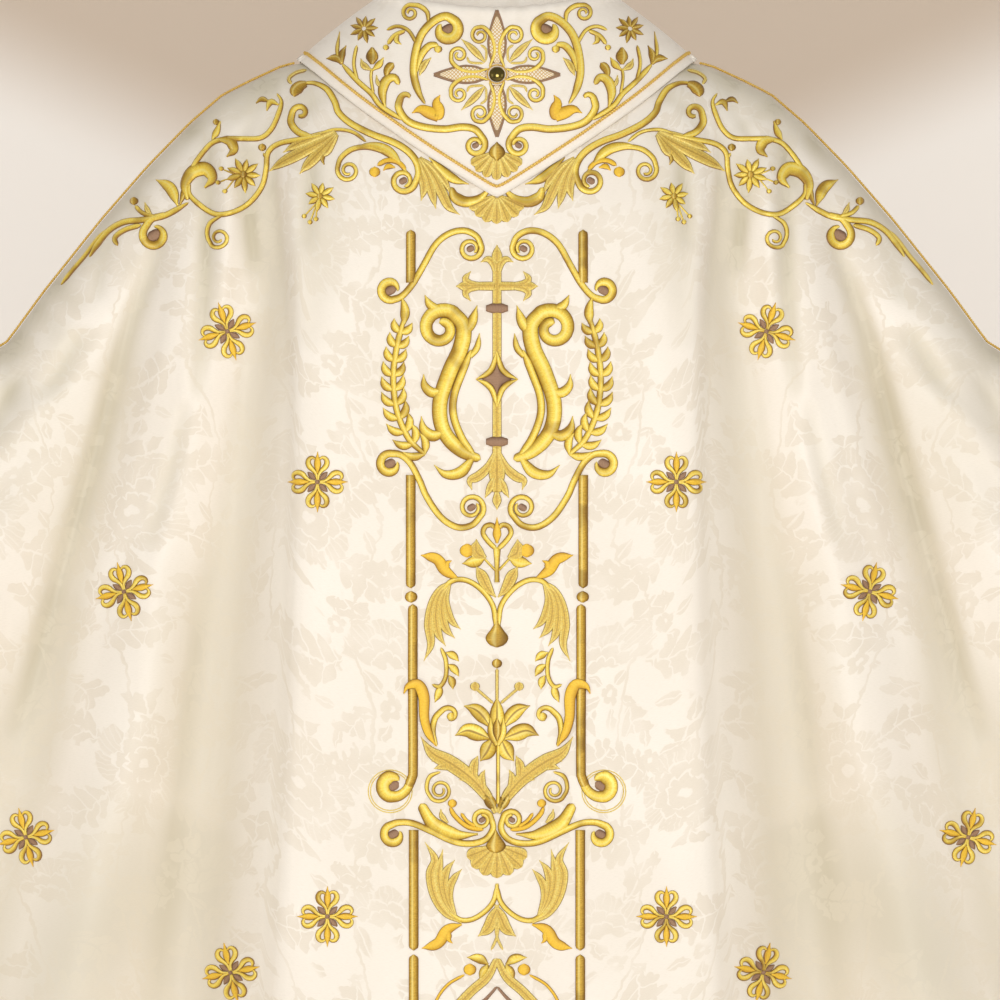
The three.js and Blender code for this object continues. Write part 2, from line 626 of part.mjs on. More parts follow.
// Single motifs down the middle of the band
const starOutline = roundOutline(16, (a) => 9 + 13 * Math.pow(Math.abs(Math.cos(2 * a)), 3) * (Math.abs(Math.sin(a)) > 0.8 ? 1.3 : 1));
const lilyOutline = roundOutline(24, (a) => 14 + 19 * Math.pow(Math.abs(Math.cos(3 * (a - 0.52))), 2));
const dropOutline = roundOutline(10, (a) => (Math.abs(a - Math.PI / 2) < 0.4 ? 15 : 8.5));
const shellOutline = roundOutline(20, (a) => (a > 3.3 && a < 6.1 ? 24 + 4 * Math.cos(10 * a) : 8));
const bandMotifs = [
  { name: 'band_cross', z: -197, outline: crossOutline([33, 34, 33, 46], 3.6) },
  { name: 'band_star', z: -277, outline: starOutline },
  { name: 'band_drop', z: -497, outline: dropOutline },
  { name: 'band_lily', z: -573, outline: lilyOutline },
  { name: 'band_shell', z: -684, outline: shellOutline },
];
for (const { name, z, outline } of bandMotifs) {
  add(name, stitchedMotif(frontFacets, 0, z, outline), goldThread);
}

// The four-petalled flowers sprinkled over the front
const flowers = [
  { name: 'chest', x: 232, z: -236 },
  { name: 'waist', x: 155, z: -366 },
  { name: 'side', x: 322, z: -460 },
  { name: 'sleeve', x: 408, z: -674 },
  { name: 'hip', x: 145, z: -738 },
  { name: 'skirt', x: 229, z: -788 },
  { name: 'skirt_side', x: 325, z: -905 },
  { name: 'hem', x: 150, z: -1080 },
];
const petals = (a) => flowerRadius * (0.62 + 0.38 * Math.abs(Math.cos(2 * a)));
for (const { name, x, z } of flowers) {
  for (const hand of [-1, 1]) {
    const outline = roundOutline(16, petals, hand * 0.2);
    add(`flower_${name}_${hand < 0 ? 'left' : 'right'}`, stitchedMotif(frontFacets, hand * x, z, outline), goldThread);
  }
}

export default chasuble;
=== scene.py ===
import math
import bmesh
import bpy
import numpy as np
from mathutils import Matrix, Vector
from mathutils.bvhtree import BVHTree


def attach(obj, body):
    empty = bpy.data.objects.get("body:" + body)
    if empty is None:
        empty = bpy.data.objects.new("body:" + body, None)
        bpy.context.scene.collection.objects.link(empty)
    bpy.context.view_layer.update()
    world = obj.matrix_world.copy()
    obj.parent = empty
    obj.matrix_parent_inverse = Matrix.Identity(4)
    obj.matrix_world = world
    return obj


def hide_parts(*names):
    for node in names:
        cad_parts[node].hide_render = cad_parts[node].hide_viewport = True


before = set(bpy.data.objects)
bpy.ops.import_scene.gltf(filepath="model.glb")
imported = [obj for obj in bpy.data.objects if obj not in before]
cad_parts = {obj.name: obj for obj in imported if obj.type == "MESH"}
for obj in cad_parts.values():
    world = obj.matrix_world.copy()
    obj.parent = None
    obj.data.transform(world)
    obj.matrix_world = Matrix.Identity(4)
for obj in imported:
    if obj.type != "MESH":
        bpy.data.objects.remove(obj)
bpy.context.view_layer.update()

mm = 0.001

# Drape: the same tables as the solids have, in millimetres. A row is one line of the drape, from the
# middle out.
shoulderLine = np.array([  # distance out, height, forward place
    (0, 14, 0), (90, 9, 0), (158, 2, 0), (186, -4, 0), (214, -17, 0), (238, -29, 0), (267, -54, 0),
    (303, -91, 0), (343, -137, -2), (393, -200, -6), (425, -244, -9), (449, -259, -12), (520, -304, -20),
    (600, -356, -28), (650, -392, -32), (680, -424, -34)], dtype=float)
drapeColumns = ("topX", "hemX", "hemZ", "bend", "reach", "drop", "out")
frontDrape = np.array([
    (0, 0, -1250, 1.0, 150, 300, 0),
    (84, 112, -1247, 1.0, 150, 300, 3),
    (150, 212, -1232, 1.0, 144, 285, 12),
    (190, 316, -1194, 1.15, 112, 235, -40),
    (240, 438, -1124, 1.3, 98, 190, 24),
    (295, 560, -1022, 1.35, 80, 140, -38),
    (372, 640, -902, 1.35, 68, 105, 24),
    (465, 682, -800, 1.3, 62, 85, -24),
    (570, 697, -715, 1.2, 58, 75, 16),
    (680, 700, -640, 1.0, 52, 65, 0)], dtype=float)
backDrape = np.array([
    (0, 0, -1272, 1.0, 96, 200, 16),
    (84, 112, -1268, 1.0, 100, 200, -16),
    (150, 216, -1250, 1.0, 104, 200, 24),
    (190, 318, -1208, 1.15, 94, 190, -32),
    (240, 438, -1134, 1.3, 84, 165, 26),
    (295, 560, -1030, 1.35, 72, 130, -34),
    (372, 640, -908, 1.35, 64, 105, 22),
    (465, 682, -804, 1.3, 60, 85, -24),
    (570, 697, -717, 1.2, 56, 75, 14),
    (680, 700, -640, 1.0, 50, 65, 0)], dtype=float)

clothCare = {
    "thickness": 1.5,         # of the shown cloth, mm
    "columns": 248,           # across a panel
    "rows": 158,              # down a panel
    "wrinkle": 1.0,           # how strongly the small creases show, 0 to 2
    "neckHalfWidth": 158,
    "seamGap": 0.3,
}
sheets = {
    "front": {"side": -1, "drape": frontDrape, "vee": 121, "flare": 34},
    "back": {"side": 1, "drape": backDrape, "vee": 62, "flare": 62},
}

# Creases laid on the front: a line of (x, z) points, how wide, how deep (minus is a groove),
# and how much of the light its hollow loses
frontCreases = [
    {"line": [(156.5, -71.4), (158.2, -105.8), (162.5, -166)], "width": 8, "depth": -4, "shade": 0.5},
    {"line": [(180.6, -92.9), (176.3, -148.8), (171.1, -234.8)], "width": 8, "depth": 6},
    {"line": [(214.1, -71.4), (215.9, -110.1), (208.1, -187.5)], "width": 8, "depth": -6, "shade": 0.75},
    {"line": [(233.1, -80), (233.1, -131.6), (236.5, -217.6)], "width": 8, "depth": 5},
    {"line": [(251.1, -58.5), (250.3, -114.4), (252.8, -209), (258.9, -295)], "width": 9, "depth": -7,
     "shade": 0.75},
    {"line": [(269.2, -148.8), (285.5, -243.4), (307, -320.8), (337.1, -432.6), (375.8, -553)], "width": 13,
     "depth": 7},
    {"line": [(284.7, -127.3), (298.4, -176.3), (322.5, -239.1), (341.4, -312.2), (374.1, -428.3),
              (397.3, -510), (420.5, -591.7)], "width": 9, "depth": -11, "shade": 0.4},
    {"line": [(267.5, -295), (279.5, -355.2), (298.4, -424)], "width": 8, "depth": -6, "shade": 0.35},
    {"line": [(251.1, -432.6), (264, -553), (279.5, -682)], "width": 14, "depth": -3, "shade": 0.1},
    {"line": [(274.3, -467), (298.4, -570.2), (325.9, -664.8)], "width": 16, "depth": 5},
    {"line": [(284.7, -639), (315.6, -707.8), (353.5, -768), (401.6, -862.6)], "width": 60, "depth": -6,
     "shade": 0.66},
    {"line": [(367.2, -226.2), (388.7, -320.8), (410.2, -415.4)], "width": 60, "depth": -1, "shade": 0.2},
    {"line": [(153.9, -62.8), (155.7, -166), (160, -252)], "width": 17, "depth": -0.6, "shade": 0.34},
    {"line": [(370.7, -458.4), (398.2, -544.4), (425.7, -621.8)], "width": 26, "depth": -2, "shade": 0.2},
    {"line": [(262.3, -415.4), (276.1, -518.6), (286.4, -639)], "width": 26, "depth": -2, "shade": 0.2},
    {"line": [(393, -432.6), (410.2, -553), (427.4, -639)], "width": 14, "depth": 5},
    {"line": [(355.2, -230.5), (374.1, -260.6), (394.7, -295)], "width": 10, "depth": -6, "shade": 0.35},
    {"line": [(375.8, -277.8), (410.2, -320.8), (453.2, -381)], "width": 12, "depth": 4},
    {"line": [(410.2, -269.2), (444.6, -320.8), (479, -398.2)], "width": 12, "depth": -6, "shade": 0.3},
    {"line": [(130.7, -37), (136.7, -105.8), (140.2, -209)], "width": 9, "depth": -1.4, "shade": 0.12},
    {"line": [(92, -148.8), (107.5, -234.8), (112.7, -338)], "width": 12, "depth": -1.0, "shade": 0.08},
    {"line": [(202.1, -37), (221, -67.1), (233.1, -101.5)], "width": 6, "depth": -2.4, "shade": 0.3},
    {"line": [(233.9, -54.2), (250.3, -80), (265.7, -131.6)], "width": 6, "depth": -2.4, "shade": 0.3},
    {"line": [(332.8, -153.1), (344.9, -176.3), (348.3, -209)], "width": 7, "depth": -2.5, "shade": 0.3},
    {"line": [(143.6, -28.4), (169.4, -47.3), (184.9, -71.4)], "width": 6, "depth": -2.0, "shade": 0.3},
]
# the long hollow on each side of the flat middle: height, where it starts, how far it reaches, depth
# and shade
sideHollow = np.array([
    (-45.6, 188.3, 20, 0, 0.15), (-110.1, 189.2, 26, 7, 0.5), (-209, 177.2, 36, 8, 0.32),
    (-295, 175.4, 56, 9, 0.22), (-363.8, 175.4, 70, 9, 0.17), (-467, 177.2, 92, 8, 0.14),
    (-553, 179.7, 96, 8, 0.14), (-639, 183.2, 98, 8, 0.13), (-725, 189.2, 104, 8, 0.1),
    (-811, 194.4, 110, 8, 0.1), (-1100, 240, 120, 8, 0.1)], dtype=float)


def betweenRows(rows, column, place, odd=False):
    last = len(rows) - 1
    values = rows[:, column]
    p = np.clip(place, 0, last)
    k = np.minimum(p.astype(int), last - 1)
    t = p - k
    mirrored = 2 * values[0] - values[1] if odd else values[1]
    padded = np.concatenate([[mirrored], values, [2 * values[last] - values[last - 1]]])
    a, b = padded[k + 1], padded[k + 2]
    slopeA = (b - padded[k]) / 2
    slopeB = (padded[k + 3] - a) / 2
    t2, t3 = t * t, t * t * t
    return a * (2 * t3 - 3 * t2 + 1) + b * (3 * t2 - 2 * t3) + slopeA * (t3 - 2 * t2 + t) + slopeB * (t3 - t2)


def shoulderAt(x, column):
    return np.interp(np.abs(x), shoulderLine[:, 0], shoulderLine[:, column])


def neckEdge(x, vee):
    share = np.minimum(np.abs(x) / clothCare["neckHalfWidth"], 1)
    whole = math.sqrt(1.012) - math.sqrt(0.012)
    return 2 - (vee - 13) * (1 - (np.sqrt(share * share + 0.012) - math.sqrt(0.012)) / whole)


def creaseSum(x, z, creases, what):
    # the depth, or the shade, that the creases add at each point
    total = np.zeros_like(x)
    for n, crease in enumerate(creases):
        if what not in crease:
            continue
        line = np.array(crease["line"], dtype=float)
        for hand in (-1, 1):
            along = np.zeros_like(x)
            best = np.full_like(x, 1e9)
            run = 0.0
            wander = 2.5 * math.sin(3.7 * n + 2.1 * hand)        # left and right aren't quite alike
            px, pz = hand * line[:, 0] + wander * np.linspace(0.3, 1, len(line)), line[:, 1]
            lengths = np.hypot(np.diff(px), np.diff(pz))
            for s in range(len(px) - 1):
                ax, az, bx, bz = px[s], pz[s], px[s + 1], pz[s + 1]
                t = np.clip(((x - ax) * (bx - ax) + (z - az) * (bz - az)) / (lengths[s] ** 2), 0, 1)
                d = np.hypot(x - ax - t * (bx - ax), z - az - t * (bz - az))
                near = d < best
                best = np.where(near, d, best)
                along = np.where(near, run + t * lengths[s], along)
                run += lengths[s]
            fade = np.sin(np.pi * np.clip(along / run, 0, 1)) ** 0.5
            strength = crease[what] * (1 + 0.1 * math.sin(5.1 * n + 1.3 * hand))
            total += strength * fade * np.exp(-(best / crease["width"]) ** 2)
    return total


def besideMiddle(x, z):
    at = lambda k: np.interp(-z, -sideHollow[:, 0], sideHollow[:, k])
    past = np.abs(x) - at(1)
    rise = np.clip(past / 11 + 0.5, 0, 1)
    shape = rise * rise * (3 - 2 * rise) * np.clip(1 - past / at(2), 0, 1) ** 0.75
    return -at(3) * shape, at(4) * shape


shadeCare = {
    "columns": 9, "depth": 9.0, "fold": 0.4,        # painted shade where a point lies deeper than the cloth beside it
    "seam": 0.7, "seamReach": 20.0,                 # painted shade under the shoulder seams, past the collar, where the cloth turns from the light
    "blotch": 0.4, "blotchReach": 75.0,             # painted shade in blotches below the seams, as of puckers
}


def paintedShadeAt(x, y, z, sheet):
    # painted shade at each point, 0 to 1: in hollows, at the shoulder seams and, on the front, along the
    # creases
    c = shadeCare
    out = sheet["side"] * y
    around = np.zeros_like(out)
    for k in range(-c["columns"], c["columns"] + 1):
        beside = np.clip(np.arange(out.shape[1]) + k, 0, out.shape[1] - 1)
        around += np.take(out, beside, axis=1) / (2 * c["columns"] + 1)
    paintedShade = np.clip((around - out) / c["depth"], 0, 1) * c["fold"]
    fall = shoulderAt(x, 1) - z
    paintedShade = paintedShade + c["seam"] * np.exp(-(fall / c["seamReach"]) ** 2) * np.clip((np.abs(x) - 150) / 20, 0, 1)
    blotch = np.clip(np.sin(x / 11 + 2 * np.sin(z / 17)) * np.sin(z / 13 + 1.6 * np.sin(x / 21)), 0, 1)
    paintedShade = paintedShade + c["blotch"] * blotch * np.exp(-(fall / c["blotchReach"]) ** 2)
    if sheet["side"] < 0:
        paintedShade = paintedShade + creaseSum(x, z, frontCreases, "shade") + besideMiddle(x, z)[1]
    return np.clip(paintedShade, 0, 1)


def smallWrinkles(x, z, side):
    # three sizes of soft waves, in millimetres
    low = 1.6 * np.sin(x / 61 + 1.3 * np.sin(z / 143) + side) * np.sin(z / 190 + 0.7 * np.sin(x / 97))
    mid = 0.7 * np.sin(x / 23 + 2.1 * np.sin(z / 87 + x / 160) + 2 * side)
    fine = 0.28 * np.sin(x / 9.5 + 3 * np.sin(z / 41)) * np.sin(z / 37 + x / 55)
    return low + mid * (0.4 + 0.6 * np.clip(np.abs(x) / 240, 0, 1)) + fine


def panelPoints(sheet, place, v):
    drape, side = sheet["drape"], sheet["side"]
    column = {name: k for k, name in enumerate(drapeColumns)}
    value = lambda name, odd=False: betweenRows(drape, column[name], np.abs(place), odd)
    topX, hemX, hemZ = value("topX", True), value("hemX", True), value("hemZ")
    topZ = np.where(topX < clothCare["neckHalfWidth"], neckEdge(topX, sheet["vee"]), shoulderAt(topX, 1))
    x = topX + (hemX - topX) * v ** value("bend")
    z = topZ + (hemZ - topZ) * v
    fall = shoulderAt(x, 1) - z
    left = 1 - np.clip(fall / value("drop"), 0, 1)
    roundOff = np.sqrt(1 - left * left)
    foldShare = np.minimum(v / 0.85, 1) ** 0.9 * np.clip(fall / 160, 0, 1)
    stand = value("reach") * roundOff + value("out") * foldShare + sheet["flare"] * v * v
    x = np.sign(place) * x
    settle = np.clip(fall / 60, 0, 1) * clothCare["wrinkle"]
    stand = stand + smallWrinkles(x, z, side) * settle
    if side < 0:
        laid = creaseSum(x, z, frontCreases, "depth") + besideMiddle(x, z)[0]
        stand = stand + laid * np.clip(fall / 45, 0, 1) * clothCare["wrinkle"]
    y = shoulderAt(x, 2) * (1 - 0.5 * v) + side * (clothCare["seamGap"] / 2 + stand)
    return x, y, z


def placed(name, mesh, smooth=True):
    # puts a mesh in the scene as its own object
    if smooth:
        mesh.polygons.foreach_set("use_smooth", [True] * len(mesh.polygons))
    obj = bpy.data.objects.new(name, mesh)
    bpy.context.scene.collection.objects.link(obj)
    return obj


def gridMesh(name, x, y, z, uv, turn=False, paintedShade=None):
    rows, cols = x.shape
    mesh = bpy.data.meshes.new(name)
    points = np.stack([x, y, z], axis=-1).reshape(-1, 3) * mm
    j, i = np.meshgrid(np.arange(rows - 1), np.arange(cols - 1), indexing="ij")
    n = i + 1
    quads = np.stack([j * cols + i, (j + 1) * cols + i, (j + 1) * cols + n, j * cols + n],
                     axis=-1).reshape(-1, 4)
    if turn:
        quads = quads[:, ::-1]
    mesh.from_pydata(points.tolist(), [], quads.tolist())
    layer = mesh.uv_layers.new(name="cloth")
    layer.data.foreach_set("uv", uv.reshape(-1, 2)[quads.reshape(-1)].reshape(-1).astype(np.float32))
    if paintedShade is not None:
        # the painted shade is carried to the cloth's colour as a point attribute
        shade = mesh.attributes.new("paintedShade", "FLOAT", "POINT")
        shade.data.foreach_set("value", paintedShade.reshape(-1).astype(np.float32))
    return placed(name, mesh)


def finishModifiers(obj):
    depsgraph = bpy.context.evaluated_depsgraph_get()
    mesh = bpy.data.meshes.new_from_object(obj.evaluated_get(depsgraph), preserve_all_data_layers=True,
                                           depsgraph=depsgraph)
    obj.modifiers.clear()
    old = obj.data
    obj.data = mesh
    mesh.name = obj.name
    bpy.data.meshes.remove(old)
    return obj


def asShell(obj, thickness):
    solidify = obj.modifiers.new("wall", "SOLIDIFY")
    solidify.thickness = thickness * mm
    solidify.offset = -1
    solidify.use_even_offset = False
    return finishModifiers(obj)


# Materials
def toLinear(rgb):
    return [((c / 255 + 0.055) / 1.055) ** 2.4 if c > 10 else c / 255 / 12.92 for c in rgb]


class Nodes:
    def __init__(self, name):
        self.material = bpy.data.materials.new(name)
        self.material.use_nodes = True
        self.tree = self.material.node_tree
        self.shader = self.tree.nodes["Principled BSDF"]

    def add(self, kind, inputs=None, **settings):
        node = self.tree.nodes.new(kind)
        for key, value in settings.items():
            setattr(node, key, value)
        for key, value in (inputs or {}).items():
            self.feed(node.inputs[key], value)
        return node

    def feed(self, socket, value):
        if isinstance(value, bpy.types.NodeSocket):
            self.tree.links.new(value, socket)
        else:
            socket.default_value = value

    def math(self, operation, a, b=0.0, c=0.0):
        return self.add("ShaderNodeMath", {0: a, 1: b, 2: c}, operation=operation).outputs[0]

    def ease(self, value, low, high, toLow=0.0, toHigh=1.0):
        ends = {"Value": value, "From Min": low, "From Max": high, "To Min": toLow, "To Max": toHigh}
        node = self.add("ShaderNodeMapRange", ends, interpolation_type="SMOOTHSTEP")
        return node.outputs["Result"]

    def colour(self, share, a, b):
        node = self.add("ShaderNodeMix", data_type="RGBA")
        self.feed(node.inputs["Factor"], share)
        self.feed(node.inputs[6], (*a, 1) if isinstance(a, (list, tuple)) else a)
        self.feed(node.inputs[7], (*b, 1) if isinstance(b, (list, tuple)) else b)
        return node.outputs[2]

    def noise(self, vector, scale, detail=2.0):
        node = self.add("ShaderNodeTexNoise", {"Vector": vector, "Scale": scale, "Detail": detail})
        return node.outputs["Fac"]

    def finish(self, settings):
        for name, value in settings.items():
            self.feed(self.shader.inputs[name], value)

    def bump(self, height, strength, distance):
        node = self.add("ShaderNodeBump", {"Height": height, "Strength": strength, "Distance": distance})
        self.feed(self.shader.inputs["Normal"], node.outputs[0])


damaskCare = {
    "lit": (246, 237, 224),         # the plain ground
    "brightest": (250, 242, 230),
    "figure": (236, 225, 208),      # the woven figure, a little darker
    "hollow": (206, 196, 171),      # painted shade: the ground where a fold turns from the light
    "hollowFigure": (220, 211, 189),        # painted shade and sheen: the figure shines lighter than the shaded ground there
    "repeat": (150, 114),           # of the large blossoms, set like bricks, mm
    "blossom": 42, "petals": 9, "leaves": 6, "leaf": (62, 36), "leafFrom": 68,
    "sprigRepeat": (75, 57), "sprig": 9.5,
    "wander": 20.0, "ragged": 3.5,  # how far the figure strays, and how rough its edges are, mm
    "stems": 75, "sway": 0.14, "swayEvery": 228,
    "figureShare": 0.85, "sheenStreaks": 0.12,
    "thread": 0.55,                 # spacing of the weave, mm
}


def damaskFigure(m, place, split):
    # the woven figure, 0 to 1: blossoms and fans in a wreath of leaves, and sprigs between them
    care = damaskCare

    def soft(scale, detail=1.0):
        return m.add("ShaderNodeTexNoise", {"Vector": place, "Scale": scale, "Detail": detail},
                     noise_dimensions="2D")

    def product(*shares):
        out = shares[0]
        for share in shares[1:]:
            out = m.math("MULTIPLY", out, share)
        return out

    wander = m.add("ShaderNodeSeparateColor", {0: soft(10.0).outputs["Color"]})
    ragged = m.math("MULTIPLY_ADD", soft(120.0).outputs["Fac"], 2 * care["ragged"], -care["ragged"])
    # mirrored about the middle of the garment, in millimetres
    u, v = (m.math("ADD", m.math("MULTIPLY_ADD", spot, 1000.0, ragged),
                   m.math("MULTIPLY_ADD", stray, 2 * care["wander"], -care["wander"]))
            for spot, stray in ((m.math("ABSOLUTE", split.outputs[0]), wander.outputs[0]),
                                (split.outputs[1], wander.outputs[1])))

    def bricks(cx, cy, wide, tall):
        # distance and angle from the middle of the nearest motif, and 0 or 0.5 by its row
        rows = m.math("MULTIPLY_ADD", v, 1 / tall, 0.5 - cy / tall)
        odd = m.math("FRACT", m.math("MULTIPLY", m.math("FLOOR", rows), 0.5))
        cols = m.math("ADD", m.math("MULTIPLY_ADD", u, 1 / wide, 0.5 - cx / wide), odd)
        across = m.math("MULTIPLY_ADD", m.math("FRACT", cols), float(wide), -wide / 2)
        up = m.math("MULTIPLY_ADD", m.math("FRACT", rows), float(tall), -tall / 2)
        r = m.math("SQRT", m.math("MULTIPLY_ADD", across, across, m.math("MULTIPLY", up, up)))
        return r, m.math("ARCTAN2", across, up), odd

    def foldAngle(angle, count, odd):
        turns = m.math("ADD", m.math("MULTIPLY_ADD", angle, count / (2 * math.pi), 0.5), odd)
        return m.math("MULTIPLY_ADD", m.math("FRACT", turns), 2 * math.pi / count, -math.pi / count)

    r, angle, odd = bricks(20, 30, *care["repeat"])
    radius = float(care["blossom"])
    half = m.math("MULTIPLY", angle, care["petals"] / 2)
    petal = m.math("ABSOLUTE", m.math("COSINE", half))
    roundPetal = m.math("SQRT", petal)
    roundBetween = m.math("SQRT", m.math("ABSOLUTE", m.math("SINE", half)))
    gap = m.math("SUBTRACT", m.math("MULTIPLY_ADD", roundPetal, 0.22 * radius, 0.78 * radius), r)
    parts = [m.ease(gap, -0.8, 0.8), m.ease(r, 4.5, 6.0)]
    for share, wave in ((0.66, roundBetween), (0.4, roundPetal)):
        level = m.math("MULTIPLY_ADD", wave, 0.24 * radius * share, 0.76 * radius * share)
        parts.append(m.ease(m.math("ABSOLUTE", m.math("SUBTRACT", level, r)), 0.5, 1.6))
    inside = m.ease(r, 0.64 * radius, 0.6 * radius)
    parts.append(m.math("MAXIMUM", m.ease(m.math("MULTIPLY", petal, r), 1.2, 3.4), inside))
    veins = m.math("SINE", m.math("MULTIPLY", angle, care["petals"] * 5.0))
    parts.append(m.math("MAXIMUM", m.ease(veins, 0.95, 0.5, 0.5, 1.0), inside))
    # a full blossom, or a fan in every other row
    spread = m.math("MULTIPLY_ADD", odd, -4.0, 3.3)
    parts.append(m.ease(m.math("SUBTRACT", spread, m.math("ABSOLUTE", angle)), -0.05, 0.05))
    blossom = product(*parts)

    length, width = care["leaf"]
    folded = foldAngle(angle, care["leaves"], odd)
    a = m.math("MULTIPLY_ADD", m.math("COSINE", folded), r, -float(care["leafFrom"]))
    beside = m.math("MULTIPLY", m.math("SINE", folded), r)
    side = m.math("ABSOLUTE", m.math("MULTIPLY_ADD", m.math("MULTIPLY", a, a), 0.008, beside))
    share = m.math("MULTIPLY", a, 2 / length)
    lobes = m.math("MULTIPLY_ADD", side, -0.11, m.math("MULTIPLY", share, 2.5 * math.pi))
    lobes = m.math("ABSOLUTE", m.math("SINE", lobes))
    room = m.math("MULTIPLY_ADD", m.math("MULTIPLY", share, share), -width / 2, width / 2)
    room = m.math("MULTIPLY", room, m.math("MULTIPLY_ADD", m.math("SQRT", lobes), 0.55, 0.45))
    wreath = product(m.ease(m.math("SUBTRACT", room, side), -0.8, 0.8), m.ease(side, 0.4, 1.5),
                     m.ease(lobes, 0.08, 0.26))

    r, angle, odd = bricks(62, 62, *care["sprigRepeat"])
    petal = m.math("SQRT", m.math("ABSOLUTE", m.math("COSINE", m.math("MULTIPLY", angle, 2.5))))
    edge = m.math("SUBTRACT", m.math("MULTIPLY_ADD", petal, 0.45 * care["sprig"], 0.55 * care["sprig"]), r)
    sprig = m.math("MULTIPLY", m.ease(edge, -0.7, 0.7), m.ease(r, 1.6, 3.0))
    share = m.math("MULTIPLY_ADD", r, 0.1, -2.1)
    room = m.math("MULTIPLY_ADD", m.math("MULTIPLY", share, share), -5.0, 5.0)
    side = m.math("ABSOLUTE", m.math("MULTIPLY", m.math("SINE", foldAngle(angle, 5, odd)), r))
    leaflets = m.math("MULTIPLY", m.ease(m.math("SUBTRACT", room, side), -0.6, 0.6), m.ease(side, 0.2, 1.0))
    scattered = m.ease(soft(13.0, 0.0).outputs["Fac"], 0.4, 0.46)
    sprig = m.math("MULTIPLY", m.math("MAXIMUM", sprig, leaflets), scattered)

    sway = m.math("SINE", m.math("MULTIPLY", v, 2 * math.pi / care["swayEvery"]))
    stem = m.math("FRACT", m.math("MULTIPLY_ADD", sway, care["sway"],
                                  m.math("MULTIPLY", u, 1 / care["stems"])))
    stem = m.ease(m.math("ABSOLUTE", m.math("SUBTRACT", stem, 0.5)), 0.022, 0.012)
    figure = m.math("MAXIMUM", m.math("MAXIMUM", blossom, wreath), m.math("MAXIMUM", sprig, stem))
    return m.math("MULTIPLY", figure, m.ease(soft(30.0).outputs["Fac"], 0.25, 0.6, 0.6, 1.0))


def damaskMaterial(name, figured):
    m = Nodes(name)
    place = m.add("ShaderNodeUVMap", uv_map="cloth").outputs[0]
    split = m.add("ShaderNodeSeparateXYZ", {0: place})
    if figured:
        figure = damaskFigure(m, place, split)
    else:
        figure = m.ease(m.noise(place, 60.0, 1.0), 0.5, 0.7, 0.0, 0.35)
    paintedShade = m.add("ShaderNodeAttribute", attribute_name="paintedShade").outputs["Fac"]
    cloud = m.noise(place, 7.0, 1.0)
    ground = m.colour(m.ease(cloud, 0.35, 0.75), toLinear(damaskCare["lit"]),
                      toLinear(damaskCare["brightest"]))
    # painted shade: ground and figure darken toward their hollow colours as the painted shade grows, the
    # figure less, as a painted sheen
    ground = m.colour(paintedShade, ground, toLinear(damaskCare["hollow"]))
    woven = m.colour(paintedShade, toLinear(damaskCare["figure"]), toLinear(damaskCare["hollowFigure"]))
    base = m.colour(m.math("MULTIPLY", figure, damaskCare["figureShare"]), ground, woven)
    # painted sheen: fine lengthways streaks mixed toward the painted shade colour
    lengthways = m.add("ShaderNodeVectorMath", {0: place, 1: (1.0, 9.0, 1.0)},
                       operation="MULTIPLY").outputs[0]
    streak = m.math("MULTIPLY", m.ease(m.noise(lengthways, 260.0, 1.0), 0.4, 0.75), damaskCare["sheenStreaks"])
    base = m.colour(streak, base, toLinear(damaskCare["hollow"]))
    m.finish({"Base Color": base, "Roughness": m.math("MULTIPLY_ADD", figure, 0.16, 0.44),
              "Specular IOR Level": 0.35, "Sheen Weight": 0.2, "Sheen Roughness": 0.45})
    threads = 2 * math.pi / (damaskCare["thread"] * mm)
    warp = m.math("SINE", m.math("MULTIPLY", split.outputs[0], threads))
    slanting = m.math("MULTIPLY_ADD", split.outputs[0], 0.4, split.outputs[1])
    weft = m.math("SINE", m.math("MULTIPLY", slanting, threads))
    m.bump(m.math("MULTIPLY", m.math("ADD", warp, weft), 0.06), 0.35, 0.00025)
    return m.material


# Threads: pale, middle and deep colour, how metallic and how rough
threadKinds = {
    "satin": {"pale": (255, 234, 108), "mid": (244, 198, 48), "deep": (152, 106, 16), "metal": 0.2,
              "rough": 0.36},
    "laid": {"pale": (222, 180, 62), "mid": (184, 140, 32), "deep": (120, 84, 16), "metal": 0.3,
             "rough": 0.4},
    "pale": {"pale": (252, 234, 142), "mid": (228, 192, 82), "deep": (170, 126, 44), "metal": 0.2,
             "rough": 0.42},
    "orange": {"pale": (252, 212, 66), "mid": (243, 188, 42), "deep": (190, 134, 26), "metal": 0.1,
               "rough": 0.45},
    "brown": {"pale": (170, 134, 104), "mid": (150, 114, 86), "deep": (112, 80, 58), "metal": 0.0,
              "rough": 0.6},
    "net": {"pale": (250, 240, 220), "mid": (246, 235, 212), "deep": (240, 226, 196), "metal": 0.0,
            "rough": 0.55},
}
threadKinds["petal"] = threadKinds["satin"]
# shineColour is a painted highlight along satin, petal and laid strands
outlineColour, netColour, shineColour = (132, 92, 48), (214, 168, 84), (255, 240, 150)
outlineWidth = 0.45      # mm
stitchWidth = 0.55       # mm
leastWidth = 0.12        # half width of a strip's thinnest place, mm
strokeFull = 1.1         # how full every stitched line and leaf is worked
sunk = 0.35              # how far a strip's edges go into the cloth, mm


